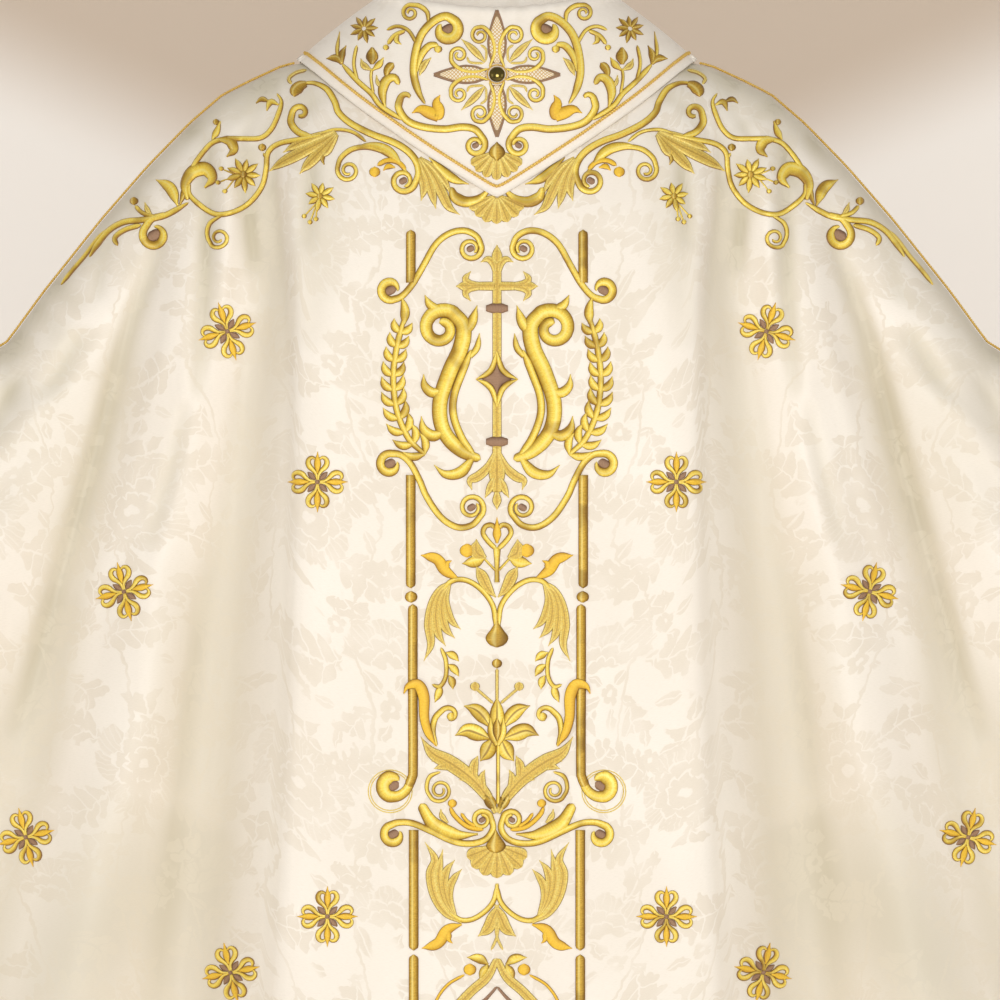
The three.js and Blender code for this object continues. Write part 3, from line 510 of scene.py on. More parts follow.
def threadMaterial(name, kind):
    m = Nodes(name)
    care = threadKinds[kind]
    stitch = m.add("ShaderNodeUVMap", uv_map="stitch").outputs[0]
    split = m.add("ShaderNodeSeparateXYZ", {0: stitch})
    along, across = split.outputs[0], split.outputs[1]
    edge = m.add("ShaderNodeAttribute", attribute_name="edge").outputs["Fac"]
    slant = m.math("ADD", m.math("MULTIPLY", along, 1000.0), m.math("MULTIPLY", across, 0.9))
    spread = m.add("ShaderNodeCombineXYZ", {"X": m.math("MULTIPLY", slant, 1.9),
                                            "Y": m.math("MULTIPLY", across, 0.35)})
    streak = m.noise(spread.outputs[0], 1.0, 2.0)
    grain = m.noise(m.add("ShaderNodeTexCoord").outputs["Object"], 900.0, 1.0)
    tone = m.math("ADD", m.math("MULTIPLY", streak, 0.75), m.math("MULTIPLY", grain, 0.35))
    base = m.colour(m.ease(tone, 0.38, 0.72), toLinear(care["mid"]), toLinear(care["pale"]))
    side = m.math("ABSOLUTE", across)
    # painted shade, on all but pale thread: one edge of a strand darker than the other and both
    # edges darker still, and on satin and laid thread olive patches of shade here and there
    dark = m.math("ADD", m.math("MULTIPLY", m.ease(across, 0.0, 0.9), 0.62),
                  m.math("MULTIPLY", m.ease(side, 0.6, 1.0), 0.25))
    if kind in ("satin", "petal", "laid"):
        shadePatch = m.ease(m.noise(m.add("ShaderNodeTexCoord").outputs["Object"], 46.0, 1.0), 0.5, 0.72)
        dark = m.math("ADD", dark, m.math("MULTIPLY", shadePatch, 0.5))
        # painted highlight: a pale line along the strand, a little to one side of its middle
        shine = m.ease(m.math("ABSOLUTE", m.math("ADD", across, 0.3)), 0.35, 0.0)
        base = m.colour(m.math("MULTIPLY", shine, 0.6), base, toLinear(shineColour))
    if kind != "pale":
        base = m.colour(m.math("MINIMUM", dark, 0.85), base, toLinear(care["deep"]))
    else:
        specks = m.ease(grain, 0.42, 0.62)
        inner = m.colour(m.math("MULTIPLY", specks, 0.7), toLinear(care["mid"]), toLinear(care["deep"]))
        base = m.colour(m.math("MULTIPLY", m.ease(edge, 1.5, 2.2), 0.75), base, inner)
        base = m.colour(m.math("MULTIPLY", m.ease(side, 0.16, 0.07), 0.6), base, toLinear(care["deep"]))
    if kind == "petal":
        vein = m.ease(side, 0.2, 0.06)
        base = m.colour(m.math("MULTIPLY", vein, 0.75), base, toLinear(outlineColour))
    if kind == "net":
        s = m.math("MULTIPLY", along, 1000.0 * math.pi / 3.2)
        t = m.math("MULTIPLY", across, 6.5)
        one = m.math("ABSOLUTE", m.math("SINE", m.math("ADD", s, t)))
        two = m.math("ABSOLUTE", m.math("SINE", m.math("SUBTRACT", s, t)))
        mesh = m.ease(m.math("MINIMUM", one, two), 0.5, 0.3)
        base = m.colour(mesh, base, toLinear(netColour))
        outline = m.ease(edge, 2.0, 1.6)
    else:
        outline = m.ease(edge, outlineWidth + 0.12, outlineWidth - 0.15)
    base = m.colour(m.math("MULTIPLY", outline, 0.85 if kind != "brown" else 0.3), base,
                    toLinear(outlineColour))
    m.finish({"Base Color": base, "Metallic": care["metal"], "Roughness": care["rough"],
              "Specular IOR Level": 0.55})
    ribs = m.math("SINE", m.math("MULTIPLY", slant, 2 * math.pi / stitchWidth))
    m.bump(m.math("ADD", m.math("MULTIPLY", ribs, 0.35), streak), 0.5, 0.0002)
    return m.material


materials = {kind: threadMaterial(kind + "Thread", kind) for kind in threadKinds}
ivory = damaskMaterial("ivoryDamask", True)
plainIvory = damaskMaterial("ivoryCollar", False)
print("materials ready")


# Cloth panels
def makePanel(name, key):
    sheet = sheets[key]
    cols, rows = clothCare["columns"], clothCare["rows"]
    place, v = np.meshgrid(np.linspace(-9, 9, cols + 1), np.linspace(0, 1, rows + 1) ** 1.45)
    x, y, z = panelPoints(sheet, place, v)
    stepAcross = np.hypot(np.diff(x, axis=1), np.diff(y, axis=1))
    u = np.concatenate([np.zeros((rows + 1, 1)), np.cumsum(stepAcross, axis=1)], axis=1)
    u = (u - u[:, [cols // 2]]) * 0.35 + x * 0.65
    drop = np.concatenate([np.zeros((1, cols + 1)),
                           np.cumsum(np.hypot(np.diff(y, axis=0), np.diff(z, axis=0)), axis=0)], axis=0)
    uv = np.stack([u, z[0] - drop], axis=-1) * mm
    return gridMesh(name, x, y, z, uv, turn=key == "back", paintedShade=paintedShadeAt(x, y, z, sheet))


frontCloth = makePanel("frontCloth", "front")
backCloth = makePanel("backCloth", "back")


def treeOf(obj):
    mesh = obj.data
    return BVHTree.FromPolygons([v.co.copy() for v in mesh.vertices],
                                [tuple(p.vertices) for p in mesh.polygons])


frontTree = treeOf(frontCloth)
backTree = treeOf(backCloth)
collarTree = None
print("panels draped")

collarCare = {
    "halfWidth": 172, "riseSide": 60, "riseFront": 43, "riseBack": 66, "topHalfWidth": 106,
    "topFront": 84, "topBack": 66, "roll": 6, "rollDepth": 34, "lift": 3.0, "wall": 2.4,
    "belly": 2.2, "columns": 150, "standRows": 30, "rollRows": 10, "insideRows": 4, "pucker": 0.55,
}


def surfaceUnder(tree, x, z, direction=1):
    # the point and facing of the cloth behind (x, z) of the front view; direction -1 looks from behind
    top = 400 if tree is collarTree else float(shoulderAt(x, 1)) - 1.2
    hit, normal = tree.ray_cast(Vector((x * mm, -direction, min(z, top) * mm)),
                                Vector((0, direction, 0)))[:2]
    if hit is None:
        return None, None
    if normal.y * direction > 0:
        normal = -normal
    return hit, normal


def collarFootPoint(tree, sheet, angle, direction):
    c = collarCare
    share = abs(math.sin(angle))
    x = c["halfWidth"] * math.sin(angle)
    if share > 0.9995:
        return Vector((x + math.copysign(1.6, x), 0, float(shoulderAt(x, 1)) + 3.0))
    soft = (math.sqrt(share * share + 0.0004) - 0.02) / (math.sqrt(1.0004) - 0.02)
    z = float(shoulderAt(x, 1)) * share - sheet["vee"] * (1 - 0.77 * soft - 0.23 * soft ** 3)
    hit, normal = surfaceUnder(tree, x, z, direction)
    return hit / mm + normal * c["lift"]


def makeCollar(name, key, tree):
    c, sheet = collarCare, sheets[key]
    side = sheet["side"]
    rise, depth = (c["riseFront"], c["topFront"]) if side < 0 else (c["riseBack"], c["topBack"])
    angles = (np.arange(c["columns"] + 1) / c["columns"] - 0.5) * math.pi
    foot = np.array([collarFootPoint(tree, sheet, a, -side)[:] for a in angles])
    outX, outY = np.sin(angles), side * np.cos(angles)
    topZ = rise + (c["riseSide"] - rise) * outX ** 2 - c["roll"]
    radiusX, radiusY = c["topHalfWidth"] + c["wall"], depth + c["wall"]
    top = np.stack([radiusX * outX, radiusY * outY, topZ], axis=-1)
    rows = []
    for w in np.linspace(0, 1, c["standRows"]):
        belly = c["belly"] * math.sin(math.pi * w)          # the collar stands very slightly full
        ring = foot * (1 - w) + top * w
        ring[:, 0] += belly * outX
        ring[:, 1] += belly * outY
        rows.append(ring)
    roll = c["roll"] + c["wall"]
    for k in range(1, c["rollRows"] + 1):
        turn = math.pi * k / c["rollRows"]
        across, up = roll * (1 - math.cos(turn)), roll * math.sin(turn)
        rows.append(np.stack([top[:, 0] - outX * across, top[:, 1] - outY * across, topZ + up], axis=-1))
    for k in range(1, c["insideRows"] + 1):
        down = c["rollDepth"] * k / c["insideRows"]
        rows.append(np.stack([top[:, 0] - outX * 2 * roll, top[:, 1] - outY * 2 * roll, topZ - down],
                             axis=-1))
    grid = np.array(rows)
    rowShare = np.arange(len(rows)) / (len(rows) - 1)
    nearTop = np.exp(-((rowShare - 0.78) / 0.13) ** 2)[:, None]
    pleat = np.sin(angles * 47 + 1.7 * np.sin(angles * 11)) * (0.6 + 0.4 * np.sin(angles * 5 + 1))
    grid[:, :, 2] += c["pucker"] * nearTop * pleat
    sway = 0.9 * np.sin(angles * 6 + 0.6) * np.sin(rowShare[:, None] * 5)
    keep = np.cos(angles) ** 0.5
    grid[:, :, 0] += sway * outX * keep
    grid[:, :, 1] += (sway * outY + c["pucker"] * 0.8 * nearTop * pleat * side) * keep
    grid[:, 0, 1] = grid[:, -1, 1] = side * clothCare["seamGap"] / 2
    x, y, z = grid[:, :, 0], grid[:, :, 1], grid[:, :, 2]
    steps = np.linalg.norm(np.diff(grid, axis=0), axis=2)
    span = np.concatenate([np.zeros((1, len(angles))), np.cumsum(steps, axis=0)])
    uv = np.stack([x * 1.1, span + foot[:, 2]], axis=-1) * mm
    return gridMesh(name, x, y, z, uv, turn=key == "front"), grid


frontCollar, frontCollarGrid = makeCollar("frontCollar", "front", frontTree)
backCollar, backCollarGrid = makeCollar("backCollar", "back", backTree)
collarTree = treeOf(frontCollar)
print("collar set")


# Embroidery: each line or leaf is a padded strip along a path, laid on the cloth behind it
def smoothLine(points, step):
    p = [np.array(q, dtype=float) for q in points]
    if len(p) == 2:
        count = max(2, int(np.linalg.norm(p[1] - p[0]) / step) + 1)
        return [p[0] + (p[1] - p[0]) * t for t in np.linspace(0, 1, count)]
    padded = [2 * p[0] - p[1]] + p + [2 * p[-1] - p[-2]]
    dense = []
    for k in range(1, len(padded) - 2):
        a, b, c, d = padded[k - 1:k + 3]
        for t in np.linspace(0, 1, 9)[:-1]:
            bend, swing = 2 * a - 5 * b + 4 * c - d, 3 * b - a - 3 * c + d
            dense.append(0.5 * (2 * b + (c - a) * t + bend * t * t + swing * t ** 3))
    dense.append(p[-1])
    return dense


def resample(dense, step):
    dense = np.array(dense)
    run = np.concatenate([[0], np.cumsum(np.hypot(*np.diff(dense, axis=0).T))])
    count = max(3, int(run[-1] / step) + 1)
    at = np.linspace(0, run[-1], count)
    return np.stack([np.interp(at, run, dense[:, 0]), np.interp(at, run, dense[:, 1])], axis=-1), run[-1]


def windIn(start, before, centre, turns, shrink):
    arm = np.array(start) - np.array(centre)
    going = np.array(start) - np.array(before)
    way = 1 if arm[0] * going[1] - arm[1] * going[0] > 0 else -1
    radius, angle = np.hypot(*arm), math.atan2(arm[1], arm[0])
    steps = max(6, int(turns * 20))
    out = []
    for k in range(1, steps + 1):
        t = k / steps
        r = radius * (1 - (1 - shrink) * t ** 0.85)
        a = angle + way * turns * 2 * math.pi * t
        out.append(np.array([centre[0] + r * math.cos(a), centre[1] + r * math.sin(a)]))
    return out


def fullAt(values, t):
    # half widths eased between the given ones
    values = np.array(values, dtype=float)
    last = len(values) - 1
    k = np.minimum((t * last).astype(int), last - 1)
    f = t * last - k
    padded = np.concatenate([[values[0]], values, [values[-1]]])
    slopeA, slopeB = (padded[k + 2] - padded[k]) / 2, (padded[k + 3] - padded[k + 1]) / 2
    f2, f3 = f * f, f * f * f
    eased = values[k] * (2 * f3 - 3 * f2 + 1) + values[k + 1] * (3 * f2 - 2 * f3)
    return np.maximum(eased + slopeA * (f3 - 2 * f2 + f) + slopeB * (f3 - f2), leastWidth)


class Stitcher:
    # gathers the padded strips of one piece
    def __init__(self, name, tree):
        self.name, self.tree = name, tree
        self.points, self.faces, self.kinds, self.uv, self.edge = [], [], [], [], []

    def strip(self, path, widths, kind="satin", height=1.5, step=2.0, lift=0.0, fine=True, blunt="",
              right=None):
        # widths are half widths along the path; right, where it is given, has those of the right side
        path, length = resample(path, step)
        count = len(path)
        t = np.linspace(0, 1, count)
        leftAt = fullAt(widths, t) * strokeFull
        rightAt = leftAt.copy() if right is None else fullAt(right, t) * strokeFull
        for end, gap in (("a", t * length), ("b", (1 - t) * length)):
            if end in blunt:        # a round end
                for side in (leftAt, rightAt):
                    side *= np.sqrt(np.maximum(1 - (1 - np.minimum(gap / np.maximum(side, 0.3), 1)) ** 2,
                                               0.01))
        run = np.vstack([path[1:], path[-1]]) - np.vstack([path[0], path[:-1]])
        run /= np.maximum(np.hypot(run[:, 0], run[:, 1]), 1e-6)[:, None]
        normal = np.stack([-run[:, 1], run[:, 0]], axis=-1)
        shares = [-1, -0.7, -0.3, 0.3, 0.7, 1] if fine else [-1, -0.45, 0.45, 1]
        ring = len(shares) + 2
        first = len(self.points)
        across = []
        for k in range(count):
            widest = max(leftAt[k], rightAt[k])
            dome = height * min(1.0, 0.35 + widest / 3.2)
            thin = 0.7 * min(max((1.4 - widest) / 0.6, 0.0), 1.0)        # a thin line has no brown edge
            spots = []
            for s in shares:
                w = leftAt[k] if s > 0 else rightAt[k]
                spot = path[k] + normal[k] * (w * s)
                hit, facing = surfaceUnder(self.tree, spot[0], spot[1])
                if hit is None:
                    return
                spots.append((hit, facing, dome * (1 - 0.62 * s * s) + lift, (1 - abs(s)) * w + thin, s))
            across.append((spots, k / (count - 1) * length))
        for spots, along in across:
            start, end = spots[0], spots[-1]
            ringPoints = [(*start[:2], -sunk, start[3], -1)] + spots + [(*end[:2], -sunk, end[3], 1)]
            for hit, facing, up, edge, s in ringPoints:
                self.points.append(hit + facing * (up * mm))
                self.uv.append((along * mm, s))
                self.edge.append(edge)
        for k in range(count - 1):
            a = first + k * ring
            b = a + ring
            for i in range(ring):
                n = (i + 1) % ring
                self.faces.append((a + i, b + i, b + n, a + n))
                self.kinds.append(kind)
        self.faces.append(tuple(first + i for i in range(ring)))
        self.faces.append(tuple(first + (count - 1) * ring + i for i in reversed(range(ring))))
        self.kinds += [kind, kind]

    def make(self):
        mesh = bpy.data.meshes.new(self.name)
        mesh.from_pydata([p[:] for p in self.points], [], self.faces)
        used = sorted(set(self.kinds))
        for kind in used:
            mesh.materials.append(materials[kind])
        mesh.polygons.foreach_set("material_index", [used.index(k) for k in self.kinds])
        layer = mesh.uv_layers.new(name="stitch")
        loops = np.zeros(len(mesh.loops), dtype=np.int32)
        mesh.loops.foreach_get("vertex_index", loops)
        layer.data.foreach_set("uv", np.array(self.uv, dtype=np.float32)[loops].reshape(-1))
        edge = mesh.attributes.new("edge", "FLOAT", "POINT")
        edge.data.foreach_set("value", np.array(self.edge, dtype=np.float32))
        print(self.name, len(mesh.polygons), "faces")
        return placed(self.name, mesh)


def mirrorPoints(points, hand):
    return [(hand * x, z) for x, z in points]


def eyeSpot(piece, x, z, wide, tall, turn):
    # a brown oval, set low inside a curl
    along = [(x + wide * k * math.cos(turn), z + wide * k * math.sin(turn)) for k in (-1, 0, 1)]
    piece.strip(along, [tall] * 3, "brown", 0.7, wide / 5, fine=False, blunt="ab")


def scroll(piece, stem, width, head=None, tail=None, kind="satin", eyes="", height=1.6, step=1.7,
           hands=(-1, 1), thin=0.45):
    # a stem that winds into a curl at one end or both. eyes names the ends whose curl holds a brown eye
    for hand in hands:
        points = smoothLine(mirrorPoints(stem, hand), 2.0)
        knots, shares = {}, {}
        for end, curl in (("t", tail), ("h", head)):
            if not curl:
                continue
            centre = (hand * curl[0], curl[1])
            big = end in eyes and curl[2] < 1
            shrink = 0.74 if big else 0.5 if end in eyes else 0.3
            inward = points if end == "t" else points[::-1]
            arm = math.hypot(inward[-1][0] - centre[0], inward[-1][1] - centre[1])
            wound = windIn(inward[-1], inward[-2], centre, curl[2], shrink)
            points = points + wound if end == "t" else wound[::-1] + points
            shares[end] = arm * (1 + shrink) * math.pi * curl[2]
            knots[end] = big
            if end in eyes:
                size = arm * (0.6 if big else 0.36)
                eyeSpot(piece, centre[0], centre[1], size, size * 0.68, hand * -0.5)
        total = float(np.sum(np.hypot(*np.diff(np.array(points), axis=0).T)))
        place, full = [], []
        if head:
            h = shares["h"] / total
            place += [0, h * 0.3, h * 0.8, h * 1.3]
            full += [0.4, 1.35, 1.3, 1.0] if knots["h"] else [0.55, 0.7, 0.85, 1.0]
        else:
            place += [0, 0.12]
            full += [thin, 0.9]
        if tail:
            g = shares["t"] / total
            place += [1 - g * 1.3, 1 - g * 0.8, 1 - g * 0.3, 1]
            full += [1.0, 1.3, 1.35, 0.4] if knots["t"] else [1.0, 0.85, 0.7, 0.55]
        else:
            place += [0.88, 1]
            full += [0.9, thin]
        order = np.argsort(place)
        widths = width * np.interp(np.linspace(0, 1, 40), np.array(place)[order], np.array(full)[order])
        piece.strip(points, widths, kind, height, step, blunt="ab")


def leaf(piece, path, left, right=None, kind="pale", height=1.3, hands=(-1, 1), lift=0.0, blunt=""):
    # a leaf or petal: half widths on its two sides, from foot to tip, for the right half of the garment
    right = left if right is None else right
    for hand in hands:
        points = smoothLine(mirrorPoints(path, hand), 2.0)
        a, b = (left, right) if hand > 0 else (right, left)
        piece.strip(points, a, kind, height, 1.5, lift, blunt=blunt, right=b)


def fingers(piece, strokes):
    # an acanthus leaf: pointed fingers that lie side by side. Each is its path and its greatest half width
    for n, (path, width) in enumerate(strokes):
        leaf(piece, path, [width * 0.4, width * 0.8, width, width * 1.1, width * 0.85, 0.2],
             height=1.3 + 0.12 * n)


def lobes(steps, base, tips, reach):
    # half widths of a leaf with pointed lobes
    out = []
    for k in range(steps):
        t = k / (steps - 1)
        whole = math.sin(math.pi * min(1, t * 0.94 + 0.05)) ** 0.7
        tooth = (t * tips) % 1
        out.append(max(0.25, whole * (base + reach * tooth)))
    out[-1] = 0.2
    return out


def ball(piece, x, z, size, kind="satin", hands=(-1, 1), height=1.8):
    for hand in hands:
        rounds = [size * math.sqrt(max(0.02, 1 - (2 * k / 6 - 1) ** 2)) for k in range(7)]
        piece.strip([(hand * x, z + size), (hand * x, z - size)], rounds, kind, height, size / 3.5)


def petalRing(piece, x, z, inner, outer, count, width, turn=0.0, kind="satin", hands=(-1, 1)):
    for hand in hands:
        for k in range(count):
            a = turn + k * 2 * math.pi / count
            reach = outer * (1 + 0.08 * math.sin(k * 2.4))
            spots = (inner, (inner + reach) / 2, reach)
            path = [(hand * (x + r * math.cos(a)), z + r * math.sin(a)) for r in spots]
            piece.strip(path, [width * 0.5, width, width * 0.85, 0.15], kind, 1.4, 1.6, fine=False)


def stamens(piece, x, z, ends):
    for ex, ez in ends:
        scroll(piece, [(x, z), ((x + ex) / 2, (z + ez) / 2), (ex, ez)], 0.7, step=2.5, height=0.9)
        ball(piece, ex, ez, 2.0)


def fan(piece, x, z, tips, width):
    # club-shaped petals spreading from one point
    for n, (tx, tz) in enumerate(tips):
        path = [(x + (tx - x) * t, z + (tz - z) * t) for t in (0.1, 0.55, 1.0)]
        widths = [width * 0.3, width * 0.6, width * 0.95, width]
        piece.strip(path, widths, "pale", 1.3 + 0.1 * (n % 2), 1.4, blunt="b")


# The band down the front
rails = Stitcher("bandRails", frontTree)
scrolls = Stitcher("bandScrolls", frontTree)
leaves = Stitcher("bandLeaves", frontTree)

railWidth = 3.8


def rail(piece, points, ends="ab"):
    for hand in (-1, 1):
        piece.strip(smoothLine(mirrorPoints(points, hand), 4), [railWidth] * 2, "laid", 2.0, 2.0,
                    blunt=ends)


# shapes that come again in the next unit
unitBud = [(0, -418), (0, -407.6), (0, -395.6)]
unitHook = [(1.2, -491.1), (3.4, -472.1), (13.8, -457.5), (26.7, -449.8), (38.7, -450.6), (48.2, -460.1)]
unitFlame = [(32.7, -448.9), (43.9, -442), (51.6, -431.7), (65.4, -428.3)]
flameWidths = [0.8, 3.2, 4.6, 4.4, 3.6, 0.3]

rail(rails, [(74, -148.8), (74, -194.4)], "a")
rail(rails, [(74, -359.5), (74, -456.7)], "b")
ball(rails, 73.6, -464.1, 4.9, "laid")
rail(rails, [(72.2, -470.4), (72.2, -535.8), (72, -609.7), (72.9, -619), (76.5, -627.6)], "ab")
scroll(rails, [(73.6, -621.5), (77.6, -629.6), (84.3, -634.7), (92, -635.5)], 4.0, tail=(89.4, -626.1, 0.6),
       eyes="t", thin=0.95)
# two thin rings round the foot's scroll
for hand in (-1, 1):
    for reach in (17.0, 18.9):
        ringPath = [(hand * 91.6 + reach * math.cos(a), -630.8 + reach * 0.97 * math.sin(a))
                    for a in np.linspace(0, 2 * math.pi, 25)]
        rails.strip(ringPath, [0.45] * 2, "pale", 0.6, 2.2, fine=False)
rail(rails, [(71.4, -663.9), (71.4, -767.1)], "b")
rail(rails, [(71.4, -770.6), (71.4, -1017.4)])
rail(rails, [(71.4, -1022.5), (71.4, -1222.1)])

scroll(scrolls, [(90.3, -209.4), (81.7, -206), (72.2, -195.2), (62.8, -178.9), (52.5, -161.2),
                 (40.4, -151.8), (27.5, -149.6), (17.2, -154.8), (12.9, -164.3)],
       2.6, head=(91.6, -200.8, 0.8), tail=(22.8, -165.1, 1.15), eyes="ht")
scroll(scrolls, [(92, -341), (82.6, -342.3), (74, -350), (66.2, -364.6), (60.2, -378.4), (48.2, -395.6),
                 (34.4, -404.2), (21.5, -402.5), (12.5, -393)],
       2.6, head=(92, -350, 0.8), tail=(21.9, -387.4, 1.2), eyes="ht")
scroll(scrolls, [(93.3, -660.5), (84.3, -657.5), (72.2, -658.3), (56.8, -664.8), (37, -673.8),
                 (21.5, -675.5), (9.5, -671.7), (3.4, -662.2), (6, -651)],
       2.6, head=(89, -667.8, 0.75), tail=(12.9, -655.3, 1.2), eyes="ht")
scroll(scrolls, unitHook, 2.4)
scroll(scrolls, [(-0.9, -709.5), (3.9, -726.7), (17.2, -738.7), (30.1, -741.3), (41.3, -734.4)], 2.3)
scroll(scrolls, [(48.2, -614), (57.6, -618.3), (60.2, -628.7), (55.9, -637.3)], 1.9, tail=(49, -630, 1.5))
scroll(scrolls, [(51.6, -592.5), (55, -581.4), (53.3, -568.5), (46.4, -560.7)], 2.5,
       tail=(40.4, -565.9, 0.75))
ball(scrolls, 39.1, -566.7, 3.6)
scroll(scrolls, [(0.9, -642.4), (0.9, -613.2), (0.9, -585.7)], 1.7, hands=(1,), thin=1)
scroll(scrolls, [(48.2, -507.4), (43.9, -518.6), (43.9, -532.3), (49, -540.9), (55.9, -539.2)], 2.0)
scroll(scrolls, [(-1.7, -737.9), (0, -755.1), (5.2, -767.1)], 1.3, kind="pale")
scroll(scrolls, [(27.5, -787.8), (42.1, -796.4), (51.6, -809.3), (55, -823.9)], 1.4, kind="orange")
scroll(scrolls, [(0, -442.9), (11.2, -430.9)], 1.1)
scroll(scrolls, [(11.2, -663.9), (24.9, -661.3), (36.1, -651.9), (40.4, -644.1)], 2.2, kind="orange")
ball(scrolls, 38.3, -641.1, 3.6, "orange")
scroll(scrolls, [(18.1, -661.3), (25.8, -656.2), (31, -649.3)], 1.7, kind="orange")

# the small cross with leafy ends, on its shaft
cross = Stitcher("bandCross", frontTree)
shaft = 3.6
cross.strip(smoothLine([(0, -176.3), (0, -342.3)], 4), [shaft] * 2, "pale", 1.5, 3)
for hand in (-1, 1):
    cross.strip(mirrorPoints([(1.7, -197.4), (23.2, -197.4)], hand), [3.6, 3.4, 3.0], "pale", 1.6, 2)
    leaf(cross, [(21.5, -197.4), (29.2, -197.4), (35.3, -197.4)], [1.6, 4.0, 3.0, 0.2], hands=(hand,),
         height=1.7)
    for path in ([(14.6, -196.1), (23.2, -195.2), (27.1, -190.9), (22.4, -184.5)],
                 [(14.6, -198.7), (23.2, -199.5), (27.1, -203.8), (22.4, -210.3)],
                 [(1.7, -184.9), (3.4, -178), (7.7, -174.2), (14.2, -176.7)]):
        leaf(cross, path, [2.0, 2.8, 2.6, 0.2], hands=(hand,), height=1.6)
leaf(cross, [(0, -178), (0, -169.4), (0, -161.7)], [1.8, 4.2, 3, 0.2], hands=(1,), height=1.7)
for level in (-216.5, -330.9):
    cross.strip([(-9.4, level), (9.4, level)], [2.2, 3.7, 3.7, 3.7, 2.2], "brown", 1.9, 1.8, lift=0.6)

# the pointed star on the shaft
star = Stitcher("bandStar", frontTree)
sx, sz = 0.0, -277.4
star.strip([(sx, sz + 13), (sx, sz - 13)], [0.3, 1.6, 4.4, 11.5, 4.4, 1.6, 0.3], "brown", 0.9, 1.1,
           lift=1.5)
for signX in (-1, 1):
    for signZ in (-1, 1):
        arc = [(sx, sz + signZ * 24), (sx + signX * 3.4, sz + signZ * 11),
               (sx + signX * 9, sz + signZ * 4.2), (sx + signX * 18, sz)]
        star.strip(smoothLine(arc, 1.5), [0.3, 2.0, 2.3, 2.0, 0.3], "satin", 1.5, 1.4, lift=1.4)

# beside the shaft, a lyre of scrolls and two palm sprays of our own
lyre = Stitcher("bandLyre", frontTree)
lyreStem = [(14, -346), (31, -339), (46, -321), (49, -298), (41, -272), (31, -250), (29, -232), (38, -220)]
scroll(lyre, lyreStem, 6.4, tail=(48, -234, 1.15), height=2.6, thin=0.5)
scroll(lyre, [(17, -346), (29, -330), (37, -310), (37, -292), (30, -272), (22, -252)], 3.4, height=2.2,
       thin=0.35)
for path, width in (([(44, -322), (55, -326), (63, -320), (65, -309)], 4.4),
                    ([(45, -286), (55, -289), (62, -283), (63, -273)], 4.0),
                    ([(20, -344), (31, -357), (44, -359), (54, -351)], 4.4),
                    ([(31, -240), (22, -229), (17, -214)], 4.2),
                    ([(47, -219), (57, -214), (62, -205)], 3.6),
                    ([(23, -258), (17, -250), (15, -238)], 2.6)):
    leaf(lyre, path, [2, width, width * 0.8, 0.3], kind="satin", height=2.2)
palm = [(62, -342), (76, -328), (86, -304), (89, -276), (86, -250), (80, -226)]
scroll(lyre, palm, 2.8, height=2.2, thin=0.6)
palmLine = resample(smoothLine(palm, 2), 12.0)[0]
for k in range(len(palmLine) - 1):
    run = palmLine[k + 1] - palmLine[max(k - 1, 0)]
    run = run / np.hypot(*run)
    for turnSide in (-1, 1):
        out = np.array([-run[1], run[0]]) * turnSide
        size = 17 * (1 - 0.35 * k / len(palmLine))
        middle = palmLine[k] + run * size * 0.4 + out * size * 0.5
        tip = palmLine[k] + run * size * 0.95 + out * size * 0.66
        leaf(lyre, [tuple(palmLine[k]), tuple(middle), tuple(tip)], [0.9, 3.2, 2.7, 0.2], kind="satin",
             height=1.8)
leaf(lyre, [(80, -230), (79, -218), (82, -206)], [1.5, 3.8, 2.8, 0.2], kind="satin", height=1.9)

# leaves and flowers of the band
leaf(leaves, [(1.7, -339.7), (7.7, -352.6), (15.5, -360.3), (23.2, -364.6), (21.5, -372.4)],
     [1.5, 2.8, 3.8, 3.4, 0.3])
leaf(leaves, [(0, -336.3), (0, -355.2), (0, -374.1)], [2.5, 3, 6, 6.4, 5, 3.5], hands=(1,), lift=0.4)
leaf(leaves, [(2.6, -362.1), (6, -370.7), (10.3, -379.3)], [1.5, 3.0, 2.4, 0.2], lift=0.6)
leaf(leaves, [(0, -374.1), (0, -381.8), (0, -389.6)], [2, 3.6, 0.2], hands=(1,), lift=0.8)
scroll(leaves, [(0.9, -423.1), (7.7, -416.2), (12, -409.4), (9.8, -403.6), (4.3, -402.4), (2.6, -405.9)],
       2.3, thin=0.7)
leaf(leaves, unitBud, [1, 3.4, 2.0, 0.2], kind="orange", hands=(1,))
leaves.strip([(0, -421.4), (0, -451.5)], [3, 2, 2], "satin", 1.4, 4)
ball(leaves, 25.6, -424.4, 5.8, "orange")
leaf(leaves, [(9.5, -431), (17.5, -425.5), (17.6, -414.6)], [1.5, 5.4, 4.6, 0.3], height=1.7)
leaf(leaves, [(10.3, -430.9), (19.5, -434), (30, -435.6)], [1, 4.6, 3.8, 0.2], kind="satin")
leaf(leaves, [(0.9, -464.4), (7.7, -456.7), (12.9, -446.3), (18.1, -437.7)], [0.6, 3.4, 4.6, 4.2, 0.3])
leaf(leaves, unitFlame, flameWidths, kind="orange")
leaf(leaves, [(43, -440.3), (43, -435.2), (38.7, -433)], [1.2, 2.6, 1.6, 0.2], kind="orange")
fingers(leaves, [([(39.6, -451.5), (49, -457.5), (55.9, -470.4), (58.5, -487.6), (56.8, -504.8),
                   (62.8, -519.4)], 3.4),
                 ([(40.4, -453.2), (49, -461.8), (52.5, -477.3), (50.7, -494.5), (43.9, -506.5)], 3.6),
                 ([(40.4, -453.2), (46.4, -465.3), (47.3, -479), (43.9, -491.1), (36.1, -499.7)], 3.6),
                 ([(40.4, -453.2), (43.9, -465.3), (42.1, -477.3), (37.8, -485.9), (31, -491.9)], 3.0)])
leaf(leaves, [(0, -477.3), (0, -492.8), (0, -507.4)], [1.8, 1.9, 2.4, 5.0, 8.4, 9.4, 9.0], kind="laid",
     hands=(1,), height=1.8, blunt="b")
